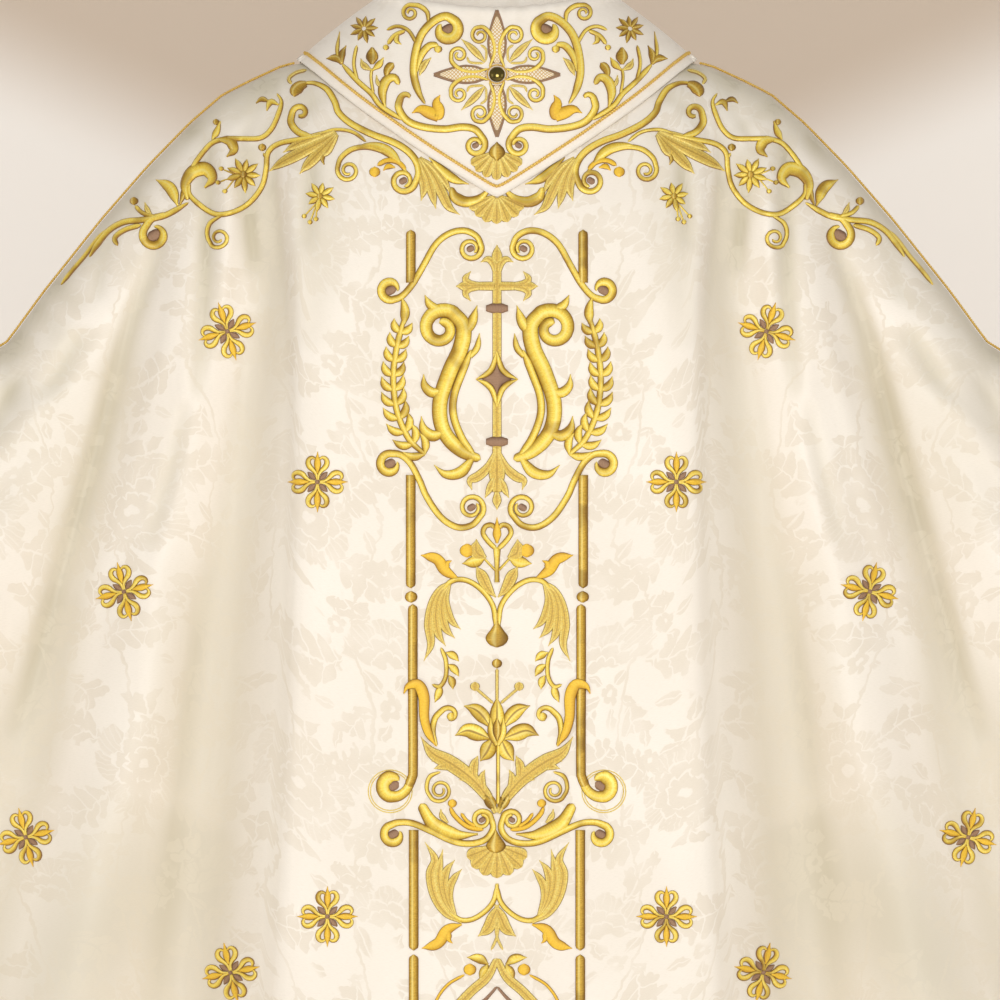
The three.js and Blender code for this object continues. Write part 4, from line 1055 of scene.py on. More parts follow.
for a, b in (((43.9, -511.7), (32.7, -519.4)), ((42.1, -522), (32.7, -532.3)),
             ((41.3, -531.5), (37.8, -543.5)), ((48.2, -539.2), (53.3, -554.7))):
    leaf(leaves, [a, ((a[0] + b[0]) / 2 - 1, (a[1] + b[1]) / 2 + 1), b], [0.5, 3.0, 2.6, 0.2], kind="satin")
leaf(leaves, [(80, -547), (76.5, -540.9), (67.9, -539.2), (62.8, -549.5), (62.4, -566.7), (59.3, -579.6),
              (52.5, -591.7)], [0.4, 3.4, 4.6, 4.4, 4.0, 3.6, 3, 0.5], kind="orange", height=1.5, lift=2.0)
fingers(leaves, [([(3.4, -639), (9.5, -630.4), (18.1, -623.5), (26.7, -620.9), (32.7, -620.9)], 3.2),
                 ([(23.2, -618.3), (33.5, -611.5), (43.9, -608.9), (54.2, -611.5)], 3.4),
                 ([(33.5, -608), (43.9, -602), (50.7, -602), (55.9, -605.4)], 3.0),
                 ([(16.3, -626.9), (19.8, -617.5), (19.8, -608.9), (16.3, -600.3)], 3.4),
                 ([(8.6, -634.7), (12, -626.1), (12.9, -618.3), (10.3, -612.3)], 2.6),
                 ([(0.9, -649.3), (7.7, -636.4), (21.5, -620.1), (40.4, -606.3), (55.9, -597.7),
                   (65.4, -583.9)], 5.6)])
leaf(leaves, [(0.9, -648.4), (6.9, -638.1), (12.9, -629.5)], [0.6, 4.2, 3.6, 0.3], kind="laid", height=1.9)
leaf(leaves, [(16.3, -667.5), (35.3, -668), (54, -659.5), (65.6, -641.5)], [0.8, 3.0, 5.6, 6.0, 4.6, 3.8],
     kind="satin", height=1.8, blunt="b")
leaf(leaves, [(42.1, -657.9), (47.3, -651.9), (48.2, -645.9)], [1, 2.4, 0.3])
fan(leaves, 0, -676.8, [(25.8, -687.1), (-25.8, -687.1), (21.5, -695.7), (-21.5, -695.7), (11.2, -702.6),
                        (-12, -702.6), (0, -705.2)], 5.4)
leaf(leaves, [(-0.9, -663.9), (-0.9, -675.1), (-0.9, -683.7)], [0.4, 4, 8, 8.6], kind="laid", hands=(1,),
     height=2.0, lift=1.0, blunt="b")
fingers(leaves, [([(30.1, -743), (43.9, -735.3), (53.3, -720.7), (56.8, -701.8), (53.3, -688.9),
                   (61.9, -674.2)], 3.6),
                 ([(35.3, -739.6), (45.6, -725), (49.9, -707.8), (49, -694), (46.4, -680.3)], 3.0),
                 ([(36.1, -737.9), (43, -724.1), (45.6, -709.5), (43, -698.3), (36.1, -689.7)], 3.4),
                 ([(35.3, -737.9), (40.4, -724.1), (40.4, -712.9), (36.1, -704.3), (30.1, -697.5)], 3.0)])
leaf(leaves, [(-1.7, -727.6), (3.4, -738.7), (7.7, -748.2), (16.3, -755.1)], [0.6, 3.8, 4.8, 4, 0.3])
leaf(leaves, [(30.1, -744.8), (42.1, -749.1), (50.7, -761.1), (64.5, -765.4)], flameWidths, kind="orange")
leaf(leaves, [(41.3, -750.8), (41.3, -757.7), (37.8, -761.1)], [1.2, 2.6, 1.6, 0.2], kind="orange")
ball(leaves, 23.2, -783.5, 5.0, "orange")
for path, width in (([(7.7, -779.2), (15.5, -774), (25.8, -773.1)], 3.6),
                    ([(7.7, -779.2), (11.2, -785.2), (14.6, -792.9)], 3.4)):
    leaf(leaves, path, [1, width, 3, 0.2], kind="satin")

# the lily
lily = Stitcher("bandLily", frontTree)
lilyZ = -573.6
for path, width in (([(6, -585.7), (16.3, -581.4), (25.8, -578.8), (36, -583)], 6.0),
                    ([(6, -575.3), (12, -566.7), (18.9, -560.7), (28.5, -557.5)], 5.4),
                    ([(3.4, -585.7), (8.6, -597), (14.5, -605)], 6.0)):
    leaf(lily, path, [1.5, width, width * 0.9, 0.3], kind="petal", height=1.6)
leaf(lily, [(0, lilyZ - 6), (0, -563.3), (0, -549.5)], [2.5, 5.8, 4.6, 0.3], kind="petal", hands=(1,),
     height=1.6)
for hand in (-1, 1):
    leaf(lily, [(0.5, lilyZ - 18), (5, lilyZ - 6), (5.5, lilyZ + 6)], [1.5, 3.2, 2.4, 0.3], kind="satin",
         hands=(hand,), height=1.2, lift=1.2)
leaf(lily, [(0, lilyZ - 14), (0, lilyZ - 4), (0, lilyZ + 6)], [0.8, 3.2, 3, 0.4], kind="laid", hands=(1,),
     height=1.2, lift=2.0)
scroll(lily, [(3, -555.6), (12, -547.8), (18, -542.7)], 1.3, kind="pale", thin=1)
ball(lily, 18.9, -540.9, 3.8, "pale")
scroll(lily, [(0, -553), (0, -525.5)], 1.5, hands=(1,), kind="pale", thin=1)
ball(lily, 0, -521.2, 4.0, "laid", hands=(1,))

# the next unit, at the lower edge of the photo and plainly on down to the hem
lower = Stitcher("bandLower", frontTree)
mandorla = [(0, -774), (8, -789.5), (24, -804.1), (40, -823.9), (48, -854), (40, -884.9), (22, -905.6),
            (0, -922.8)]
scroll(lower, mandorla, 4.2, kind="pale", thin=0.6)
innerFrame = [(0, -798.1), (10, -809.3), (24, -821.3), (33, -854), (24, -886.7), (0, -907.3)]
scroll(lower, innerFrame, 1.6, kind="brown", thin=0.6)
petalRing(lower, 0, -854, 3, 17, 8, 3.4, hands=(1,))
ball(lower, 0, -854, 3.4, "brown", hands=(1,))
shift = -553.9           # from the unit above to this one, mm
moved = lambda points: [(x, z + shift) for x, z in points]
leaf(lower, moved(unitBud), [1, 3.4, 2.0, 0.2], kind="orange", hands=(1,))
scroll(lower, moved([(0.9, -423.1), (7.7, -416.2), (12, -409.4), (9.5, -404.2), (4.3, -402.9),
                     (2.6, -405.9)]), 1.9, kind="pale", thin=0.7)
leaf(lower, moved([(0.9, -463.5), (6.9, -454.1), (16.3, -438.6)]), [0.6, 4.5, 6.5, 5, 0.3])
scroll(lower, moved(unitHook), 2.4)
leaf(lower, moved([(38.7, -450.6), (49, -460.1), (54.2, -477.3), (52.5, -497.9), (58.5, -520.3)]),
     lobes(30, 2.5, 4, 2.5), lobes(30, 7, 5, 7))
leaf(lower, moved(unitFlame), flameWidths, kind="orange")
leaf(lower, moved([(0, -479), (0, -492.8), (0, -507.4)]), [1.8, 2.4, 6.5, 9.3, 8.2, 0.6], kind="laid",
     hands=(1,))
petalRing(lower, 0, -1120.6, 3, 24, 6, 4.6, turn=0.52, hands=(1,))
scroll(lower, [(0, -1069), (0, -1107.7)], 1.7, hands=(1,))
leaf(lower, [(0, -1075), (12, -1067), (20, -1055)], [0.6, 4.5, 5.5, 0.3])

# Shoulders and breast
vines = Stitcher("shoulderVines", frontTree)
scroll(vines, [(166.8, -19.8), (157.4, -20.2), (147.1, -25.8), (140.2, -37), (136.7, -46.4), (126.4, -55.9),
               (108.4, -65.4), (90.3, -72.2), (77.4, -80), (69.7, -89.4), (67.5, -99.8), (71.4, -110.9)],
       2.9, tail=(80.8, -106.2, 1.15), eyes="t")
leaf(vines, [(165.1, -20.6), (170.3, -22.4), (174.6, -26.7), (175.4, -31.8)], [2.4, 4.4, 4.8, 3.0],
     kind="laid", height=2.0, blunt="b")
scroll(vines, [(76.5, -100.6), (90.3, -85.1), (108.4, -77.4), (123.8, -78.3), (134.2, -86), (137.6, -95.5)],
       2.2, tail=(128.1, -97.2, 1.4))
leaf(vines, [(81.7, -92.9), (93.7, -80.8), (107.5, -75.7), (122.1, -76.5)], [0.8, 3.6, 4.0, 2.4, 0.4],
     kind="satin", height=2.0)
scroll(vines, [(78.3, -97.2), (85.1, -90.3), (94.6, -88.6), (103.2, -92.9)], 2.3, kind="orange")
ball(vines, 105.3, -98.5, 4.4, "orange")
leaf(vines, [(87.7, -94.6), (93.7, -93.7), (98, -97.2)], [0.5, 2.4, 0.4], kind="orange")
fingers(vines, [([(70.5, -86), (66.2, -98.9), (62.8, -111.8), (65.4, -123.8)], 3.2),
                ([(67.9, -86.9), (60.2, -102.3), (55.9, -117), (52.5, -130.7)], 3.4),
                ([(66.2, -86.9), (55, -101.5), (47.3, -117), (41.3, -129), (31.8, -135.9)], 3.8),
                ([(66.2, -86), (54.2, -95.5), (44.7, -107.5), (39.6, -118.7)], 2.6)])
leaf(vines, [(58.5, -86), (45.6, -98.9), (35.3, -105.8), (24.1, -109.2)], [0.4, 3.4, 3.6, 0.3],
     kind="satin", height=1.7)
leaf(vines, [(39.6, -111.8), (36.1, -120.4), (26.7, -124.7), (15.5, -122.1), (6.9, -114.4)],
     [2.0, 4.4, 4.2, 3.2, 1.6], kind="satin", height=1.9, blunt="a")
fan(vines, 0, -118.7, [(23.2, -129.9), (-24.1, -129.9), (18.1, -136.7), (-18.1, -136.7), (9.5, -141.9),
                       (-10.3, -141.9), (-0.4, -143.6)], 4.8)
scroll(vines, [(112.7, -72.2), (124.7, -63.6), (140.2, -61.5), (154.8, -66.2)], 1.6)
fingers(vines, [([(140.2, -62.8), (154.8, -67.1), (170.3, -73.1), (184.9, -80.8)], 3.4),
                ([(138.5, -64.5), (150.5, -72.2), (166, -80), (183.2, -88.6), (197.8, -97.2)], 4.4),
                ([(138.5, -65.4), (147.9, -76.5), (158.2, -86.9), (170.3, -99.8)], 4.2),
                ([(137.6, -66.2), (142.8, -74.8), (146.2, -80.8), (150.5, -86)], 2.8)])
scroll(vines, [(159.1, -67.9), (171.1, -63.6), (178, -55), (177.2, -46.4)], 3.0, tail=(169.8, -46.4, 0.9))
scroll(vines, [(150.5, -66.2), (169.4, -69.7), (188.3, -73.1), (197.8, -80.8), (199.5, -95.5),
               (203, -110.1), (213.3, -123.8), (228.8, -132.9), (242.5, -134.2), (255.4, -127.3),
               (265.7, -117), (266.6, -106.6)],
       2.4, thin=0.6)
leaf(vines, [(267.5, -121.3), (270, -108.4), (263.2, -97.2), (252, -94.6), (246, -103.2), (252.8, -110.9)],
     [1.5, 3.4, 5.0, 5.6, 4.2, 0.8], kind="satin", height=2.2)
scroll(vines, [(190.9, -28.4), (186.6, -36.1), (189.2, -47.3), (195.2, -60.2), (204.7, -67.9),
               (220.2, -68.4), (233.1, -68.4), (246, -71.4), (255.4, -80.8), (263.2, -92.9),
               (267.5, -105.8), (266.6, -119.5)],
       2.3, thin=0.35)
leaf(vines, [(241.7, -68.8), (231.3, -70.5), (227.9, -78.3), (233.9, -84.3)], [1.2, 3.8, 3.8, 0.5],
     kind="satin", height=1.8)
leaf(vines, [(189.2, -38.7), (196.1, -36.1), (199.5, -43.9)], [0.8, 2.6, 0.5], kind="satin")
leaf(vines, [(196.9, -36.1), (203.8, -33.5), (209, -37)], [0.6, 2.2, 0.4], kind="laid")
leaf(vines, [(246.8, -68.8), (242.5, -61.1), (239.9, -52.5)], [0.8, 2.8, 2.0, 0.4], kind="satin")
ball(vines, 243.4, -53.3, 2.6, "laid")
scroll(vines, [(165.1, -7.7), (174.6, -10.3), (180.6, -15.5), (178, -20.6)], 1.7, kind="pale")
scroll(vines, [(236.5, -135), (247.7, -141.9), (250.3, -152.2), (246, -161.7)], 1.9,
       tail=(239.9, -154.8, 1.3))
scroll(vines, [(266.6, -123.8), (278.6, -130.7), (290.7, -135.9), (307, -138.5), (323.4, -140.2),
               (336.3, -147.1), (345.7, -158.2), (353.5, -170.3)], 2.7, thin=0.3)
scroll(vines, [(338.8, -146.2), (348.3, -156.5), (357.8, -169.4), (368.9, -182.3), (378.4, -194.4)], 2.0,
       thin=0.3, kind="satin")
scroll(vines, [(286.4, -133.3), (298.4, -137.6), (305.3, -146.2)], 2.6, tail=(296.7, -151.8, 0.85),
       eyes="t", thin=0.7)
scroll(vines, [(307.9, -142.8), (322.5, -147.1), (331.1, -153.9), (328.5, -160.8)], 2.3)
scroll(vines, [(295.8, -135.9), (307, -132.4), (313.9, -125.6)], 2.0)
ball(vines, 314.8, -121.7, 3.4, "laid")
leaf(vines, [(298.4, -135), (302.7, -129.9), (305.3, -123)], [0.6, 2.2, 0.3])
leaf(vines, [(276.1, -126.4), (282.9, -110.9), (295.8, -103.2)], [0.8, 4.2, 4.0, 0.3], kind="satin",
     height=1.8)
leaf(vines, [(274.3, -125.6), (270.9, -115.2), (270.9, -104.1)], [0.8, 2.6, 0.3], kind="laid")
scroll(vines, [(198.7, -86.9), (202.1, -80.8)], 1.4)
ball(vines, 203, -76.1, 3.2, "laid")
leaf(vines, [(147.9, -80), (150.5, -86.9), (148.8, -92)], [0.8, 2.0, 0.4], kind="laid")
petalRing(vines, 219.3, -99.8, 3, 15, 9, 2.5, turn=0.4)
ball(vines, 219.3, -99.8, 3.2, "laid")
stamens(vines, 224.5, -100.6, [(238.2, -94.6), (240.8, -106.6), (234.8, -114.4)])
petalRing(vines, 152.2, -119.5, 2.5, 13, 8, 2.3, turn=0.2)
ball(vines, 152.2, -119.5, 2.8, "laid")
stamens(vines, 154.8, -124.7, [(166, -136.7), (160.8, -141.9), (155.7, -139.3)])

# Collar embroidery
collarWork = Stitcher("collarWork", collarTree)
scroll(collarWork, [(61.9, -39.6), (67.9, -28.4), (71.8, -12.9), (70.5, 4.3), (65.4, 20.6), (55.9, 31.8),
                    (44.7, 37), (36.1, 32.7)], 3.4,
       tail=(42.6, 25.4, 0.75), eyes="t", thin=0.3, height=1.9)
scroll(collarWork, [(59.3, 30.1), (60.2, 40.4), (67.1, 46.4), (75.7, 47.7)], 2.0, tail=(74.8, 40.4, 1.3))
scroll(collarWork, [(69.2, 12.9), (76.5, 24.9), (86, 28.8), (95.5, 25.8)], 1.7)
scroll(collarWork, [(79.1, 24.9), (88.6, 20.6), (94.6, 12.9)], 2.0)
ball(collarWork, 95.9, 10.3, 2.4)
leaf(collarWork, [(85.1, 22.4), (86.9, 16.3), (82.6, 12.9)], [0.8, 2.2, 0.3], kind="satin")
leaf(collarWork, [(68.8, -11.2), (65.4, 2.6), (58.5, 11.2), (50.7, 12)], [0.6, 2.4, 3.0, 2.2], kind="satin",
     height=1.7, blunt="b")
ball(collarWork, 50.7, 8.2, 3.2)
leaf(collarWork, [(67.1, -14.6), (62.8, -5.2), (56.8, 0.9)], [0.5, 2.6, 2.4, 0.4])
leaf(collarWork, [(49.9, -50.7), (58.5, -46.9), (66.2, -44.3), (73.4, -47.3)], [4.4, 5.0, 3.6, 0.3],
     kind="orange", height=1.6)
leaf(collarWork, [(53.3, -53.3), (50.3, -45.6), (52, -37.8), (49, -31.8)], [5.4, 5.0, 3.6, 0.3],
     kind="orange", height=1.6, blunt="a")
scroll(collarWork, [(83.4, -34.4), (84.7, -43), (77.4, -53.8), (64.5, -59.3), (45.6, -61.5), (30.1, -59.8),
                    (18.9, -61.9), (11.2, -70.5)], 3.0,
       head=(77.4, -34.8, 0.45), tail=(18.5, -75.7, 1.1), eyes="t")
scroll(collarWork, [(81.7, -53.3), (99.8, -41.3), (108.4, -30.1), (120.4, -18.9), (134.2, -3.4)], 2.4,
       thin=0.4)
leaf(collarWork, [(134.2, -3.4), (138.5, 1.7), (147.9, 1.7)], [1.2, 3.2, 2.6, 0.3], kind="laid")
leaf(collarWork, [(134.2, -3.4), (134.2, 5.2), (130.7, 12.9)], [1.2, 2.8, 0.3], kind="laid")
leaf(collarWork, [(135.9, -0.9), (138.5, 7.7), (136.7, 25.8)], [1.0, 1.6, 0.3], kind="satin")
scroll(collarWork, [(120.4, -18.9), (123.8, -3.4), (121.3, 12.9)], 1.6)
petalRing(collarWork, 115.2, 27.5, 2, 12.5, 9, 2.0, turn=0.3, kind="laid")
scroll(collarWork, [(106.6, -31), (108.8, -16.3), (107.9, -7.7)], 1.4)
leaf(collarWork, [(107.9, -4.3), (107.9, 4.3), (107.9, 10.3)], [1.5, 4.6, 4.2, 1.2], kind="laid",
     height=1.7)
leaf(collarWork, [(108.4, -9.5), (115.2, -5.2), (117.8, 0.9)], [0.8, 2.8, 0.3])
leaf(collarWork, [(107.5, -9.5), (101.5, -4.3), (98, 1.7)], [0.8, 2.8, 0.3], kind="satin")
leaf(collarWork, [(96.3, -42.1), (98.9, -29.2), (95.5, -18.9), (88.6, -16.3), (84.3, -22.4)],
     [0.8, 3.0, 4.0, 3.4, 2.0], kind="satin", height=1.8, blunt="b")
leaf(collarWork, [(95.5, -18.1), (94.6, -9.5), (89.4, -3.4)], [0.5, 2.4, 3.4, 2.8], kind="laid", blunt="b")
leaf(collarWork, [(98.9, -26.7), (103.2, -19.8), (104.1, -13.8)], [0.5, 1.8, 0.3])
fan(collarWork, 0, -80, [(21.5, -92), (-22.4, -92), (17.2, -98), (-18.1, -98), (9.5, -103.2),
                         (-10.3, -103.2), (-0.4, -105.8)], 4.0)
leaf(collarWork, [(0, -73.1), (0, -82.6), (0, -89.4)], [0.4, 5.2, 6, 0.8], kind="laid", hands=(1,),
     height=1.8, lift=1.0)

# The cross on the collar: four netted arms with a brown edge, scrolls and spikes between them
arms = Stitcher("collarCross", collarTree)
centreZ = -14
near = 9.5
for out, far in (((0, 1), 56), ((0, -1), 54.5), ((-1, 0), 54.5), ((1, 0), 54.5)):
    reach = [(out[0] * r, centreZ + out[1] * r) for r in (near, (near + far) / 2, far)]
    arms.strip(reach, [3.4, 6.6, 7.4, 6.2, 3.6, 0.3], "net", 1.2, 1.6)
    rim = [3.6, 7.0, 7.8, 6.4, 3.8, 0.6]
    line = resample(reach, 2.0)[0]
    across = np.array([-out[1], out[0]])
    for sideway in (-1, 1):
        widths = np.interp(np.linspace(0, 1, len(line)), np.linspace(0, 1, 6), rim)
        arms.strip([p + across * w * sideway for p, w in zip(line, widths)], [0.75] * 2, "brown", 1.2, 2.0,
                   fine=False)
for flip in (-1, 1):
    for hand in (-1, 1):
        turned = lambda points: [(x, centreZ + flip * (z - centreZ)) for x, z in points]
        one = lambda p: (p[0], centreZ + flip * (p[1] - centreZ))
        scroll(arms, turned([(6.5, -8.2), (2.1, 5.2), (4.3, 18.1), (11.2, 26.7), (18.1, 26.7)]), 1.9,
               tail=(*one((14.6, 19.8)), 1.2), hands=(hand,))
        scroll(arms, turned([(7.3, -9), (18.1, -12), (30.1, -10.3), (38.7, -3.4), (39.6, 4.3)]), 1.9,
               tail=(*one((32.7, 3)), 1.2), hands=(hand,))
        leaf(arms, turned([(10.3, -3.4), (20.6, 7.7), (31, 17.2)]), [0.8, 2.8, 2.4, 0.2],
             hands=(hand,))
        scroll(arms, turned([(9.5, -2.6), (9.5, 7.7), (14.6, 12)]), 1.1, kind="pale", hands=(hand,))
        scroll(arms, turned([(11.2, -4.3), (23.2, -3.4), (25.8, 1.7)]), 1.1, kind="pale", hands=(hand,))

# Four-petalled flowers sprinkled over the front
flowers = Stitcher("sprinkledFlowers", frontTree)
flowerCare = {
    "loop": [(1.5, 0.4), (6.5, 1.2), (10, 3.7), (13.2, 6.9), (17, 8.1), (20.2, 6.6), (20.9, 3.8),
             (19.2, 1.6)],
    "loopWidths": [0.8, 1.2, 1.7, 2.2, 2.1, 1.6, 0.9],
    "spike": [7.5, 15, 26], "spikeWidths": [0.5, 2.0, 2.8, 2.4, 1.0, 0.15],
    "sepal": [2.5, 7, 12], "sepalWidths": [0.6, 1.6, 2.3, 1.7, 0.4],
}
flowerPlaces = [  # distance out, height, lean outwards in degrees
    (232.6, -235.6, 17), (153.9, -365.5, 0), (321.2, -460.1, 14), (406.8, -672.5, 15),
    (145.3, -737.9, 0), (228.8, -787.8, 14), (325, -905, 10), (150, -1080, 5)]


def sprinkled(piece, x, z, turn):
    # four hearts of two loops, with a spike in each and a sepal between them
    c = flowerCare

    def place(r, across, a):
        return (x + r * math.cos(a) - across * math.sin(a), z + r * math.sin(a) + across * math.cos(a))

    for k in range(4):
        a = turn + k * math.pi / 2
        for s in (-1, 1):
            loop = [place(r, across * s, a) for r, across in c["loop"]]
            piece.strip(smoothLine(loop, 1.5), c["loopWidths"], "satin", 1.5, 1.4)
        spike = [place(r, 0, a) for r in c["spike"]]
        piece.strip(spike, c["spikeWidths"], "orange", 2.0, 2.0, fine=False)
        sepal = [place(r, 0, a + math.pi / 4) for r in c["sepal"]]
        piece.strip(sepal, c["sepalWidths"], "brown", 0.8, 2.0, fine=False)
    ball(piece, x, z, 2.0, "brown", hands=(1,), height=1.9)


for x, z, lean in flowerPlaces:
    for hand in (-1, 1):
        sprinkled(flowers, hand * x, z, math.pi / 2 - hand * math.radians(lean))

work = {piece.name: piece.make() for piece in
        (rails, scrolls, leaves, cross, star, lyre, lily, lower, vines, collarWork, arms, flowers)}
print("embroidery laid")


# Cords: Geometry Nodes sweep a twisted two-ply section along a line
cordCare = {
    "radius": 1.6,            # of the front cord, mm
    "backRadius": 1.3,
    "ply": 0.62,              # thickness of the two plies side by side, as a share
    "twist": 5.5, "step": 0.9, "around": 10, "inset": 9.0, "stand": 0.9,
    "deep": (214, 164, 58), "pale": (250, 216, 122),
}
pipingCare = {"radius": 1.3, "twist": 4.5, "off": 1.6, "start": 176, "from": 180, "to": 680, "points": 60}


def nodesOf(tree, *kinds):
    return [tree.nodes.new(kind) for kind in kinds]


def cordTree(name, material):
    tree = bpy.data.node_groups.new(name, "GeometryNodeTree")
    face = tree.interface
    face.new_socket("Line", in_out="INPUT", socket_type="NodeSocketGeometry")
    for label, value in (("Radius", cordCare["radius"]), ("Turn length", cordCare["twist"]),
                         ("Step", cordCare["step"])):
        face.new_socket(label, in_out="INPUT", socket_type="NodeSocketFloat").default_value = value * mm
    face.new_socket("Cord", in_out="OUTPUT", socket_type="NodeSocketGeometry")
    link = tree.links.new
    start, end, toCurve, even, spline, turns, angle, tilt = nodesOf(
        tree, "NodeGroupInput", "NodeGroupOutput", "GeometryNodeMeshToCurve", "GeometryNodeResampleCurve",
        "GeometryNodeSplineParameter", "ShaderNodeMath", "ShaderNodeMath", "GeometryNodeSetCurveTilt")
    ring, squash, sweep, smooth, realize, finish = nodesOf(
        tree, "GeometryNodeCurvePrimitiveCircle", "GeometryNodeTransform", "GeometryNodeCurveToMesh",
        "GeometryNodeSetShadeSmooth", "GeometryNodeRealizeInstances", "GeometryNodeSetMaterial")
    even.mode = "LENGTH"
    turns.operation, angle.operation = "DIVIDE", "MULTIPLY"
    angle.inputs[1].default_value = 2 * math.pi
    ring.inputs["Resolution"].default_value = cordCare["around"]
    squash.inputs["Scale"].default_value = (1.0, cordCare["ply"], 1.0)
    finish.inputs["Material"].default_value = material
    sweep.inputs["Fill Caps"].default_value = True
    link(start.outputs["Line"], toCurve.inputs["Mesh"])
    link(toCurve.outputs[0], even.inputs["Curve"])
    link(start.outputs["Step"], even.inputs["Length"])
    link(spline.outputs["Length"], turns.inputs[0])
    link(start.outputs["Turn length"], turns.inputs[1])
    link(turns.outputs[0], angle.inputs[0])
    link(even.outputs[0], tilt.inputs["Curve"])
    link(angle.outputs[0], tilt.inputs["Tilt"])
    link(start.outputs["Radius"], ring.inputs["Radius"])
    link(ring.outputs[0], squash.inputs["Geometry"])
    link(tilt.outputs[0], sweep.inputs["Curve"])
    link(squash.outputs[0], sweep.inputs["Profile Curve"])
    link(sweep.outputs[0], smooth.inputs["Geometry"])
    link(smooth.outputs[0], realize.inputs[0])
    link(realize.outputs[0], finish.inputs["Geometry"])
    link(finish.outputs[0], end.inputs[0])
    return tree


def setInput(modifier, label, value):
    for item in modifier.node_group.interface.items_tree:
        if item.in_out == "INPUT" and item.name == label:
            modifier[item.identifier] = value


def cordMaterial():
    m = Nodes("goldCord")
    where = m.add("ShaderNodeTexCoord").outputs["Object"]
    tone = m.noise(where, 1400.0, 2.0)
    base = m.colour(m.ease(tone, 0.35, 0.65), toLinear(cordCare["deep"]), toLinear(cordCare["pale"]))
    m.finish({"Base Color": base, "Metallic": 0.35, "Roughness": 0.42})
    m.bump(tone, 0.4, 0.0002)
    return m.material


goldCordMaterial = cordMaterial()
cordNodes = cordTree("twistedCord", goldCordMaterial)


def cordAlong(name, points, radius, twist=cordCare["twist"]):
    mesh = bpy.data.meshes.new(name)
    mesh.from_pydata([tuple(c * mm for c in p) for p in points],
                     [(k, k + 1) for k in range(len(points) - 1)], [])
    obj = placed(name, mesh, smooth=False)
    modifier = obj.modifiers.new("cord", "NODES")
    modifier.node_group = cordNodes
    setInput(modifier, "Radius", radius * mm)
    setInput(modifier, "Turn length", twist * mm)
    setInput(modifier, "Step", cordCare["step"] * mm)
    return finishModifiers(obj)


def collarCordPoints(grid, side):
    # a line on the collar, a little inside its lower edge
    points = []
    inset, stand = cordCare["inset"], cordCare["stand"]
    rows, cols = grid.shape[:2]
    for i in range(cols):
        walked, k = 0.0, 0
        while k < rows - 2 and walked + np.linalg.norm(grid[k + 1, i] - grid[k, i]) < inset:
            walked += np.linalg.norm(grid[k + 1, i] - grid[k, i])
            k += 1
        span = grid[k + 1, i] - grid[k, i]
        on = grid[k, i] + span * (inset - walked) / np.linalg.norm(span)
        nextCol, lastCol = grid[k, min(i + 1, cols - 1)], grid[k, max(i - 1, 0)]
        normal = np.cross(nextCol - lastCol, span)
        normal /= np.linalg.norm(normal)
        points.append(on - normal * side * stand)
    points[0][1] = points[-1][1] = side * stand
    return points


frontCord = cordAlong("frontCollarCord", collarCordPoints(frontCollarGrid, -1), cordCare["radius"])
backCord = cordAlong("backCollarCord", collarCordPoints(backCollarGrid, 1), cordCare["backRadius"])


def pipingLine(hand):
    # along the shoulder seam, standing a little off it
    c = pipingCare
    line = []
    for x in (c["start"], *np.linspace(c["from"], c["to"], c["points"])):
        a, b = float(shoulderAt(x - 3, 1)), float(shoulderAt(x + 3, 1))
        away = np.array([a - b, 6.0]) / math.hypot(a - b, 6.0)
        line.append((hand * (x + away[0] * c["off"]), float(shoulderAt(x, 2)),
                     float(shoulderAt(x, 1)) + away[1] * c["off"]))
    return line


piping = {label: cordAlong("shoulderPiping" + label, pipingLine(hand), pipingCare["radius"],
                           pipingCare["twist"])
          for hand, label in ((-1, "Left"), (1, "Right"))}
print("cords swept")

# The stone in its beaded ring
stoneCare = {"radius": 7.0, "height": 4.4, "sunk": 0.2, "rings": 9, "around": 40,
             "beads": 30, "ring": 8.4, "bead": 0.85, "beadUp": 0.9,
             "dark": (44, 34, 4), "light": (132, 112, 26)}
stoneHit, stoneFacing = surfaceUnder(collarTree, 0, centreZ)
stoneTurn = stoneFacing.to_track_quat("Z", "Y")


def stoneMaterial():
    m = Nodes("oliveStone")
    where = m.add("ShaderNodeTexCoord").outputs["Object"]
    tone = m.noise(where, 160.0, 2.0)
    base = m.colour(tone, toLinear(stoneCare["dark"]), toLinear(stoneCare["light"]))
    m.finish({"Base Color": base, "Metallic": 0.85, "Roughness": 0.12, "Coat Weight": 0.6})
    return m.material


def makeStone():
    mesh = bpy.data.meshes.new("stone")
    shape = bmesh.new()
    rings, around = stoneCare["rings"], stoneCare["around"]
    grid = []
    for k in range(rings):
        a = math.pi / 2 * k / (rings - 1)
        r, h = stoneCare["radius"] * math.cos(a), stoneCare["height"] * math.sin(a)
        if k == rings - 1:
            grid.append([shape.verts.new((0, 0, h))] * around)
        else:
            turns = [2 * math.pi * i / around for i in range(around)]
            grid.append([shape.verts.new((r * math.cos(t), r * math.sin(t), h)) for t in turns])
    for k in range(rings - 1):
        for i in range(around):
            n = (i + 1) % around
            ring = [grid[k][i], grid[k][n], grid[k + 1][n], grid[k + 1][i]]
            if k == rings - 2:
                ring = ring[:3]
            shape.faces.new(ring)
    shape.faces.new(list(reversed(grid[0])))
    for v in shape.verts:
        v.co = stoneHit + stoneTurn @ (v.co * mm + Vector((0, 0, -stoneCare["sunk"] * mm)))
    shape.to_mesh(mesh)
    shape.free()
    mesh.materials.append(stoneMaterial())
    return placed("stone", mesh)


stone = makeStone()


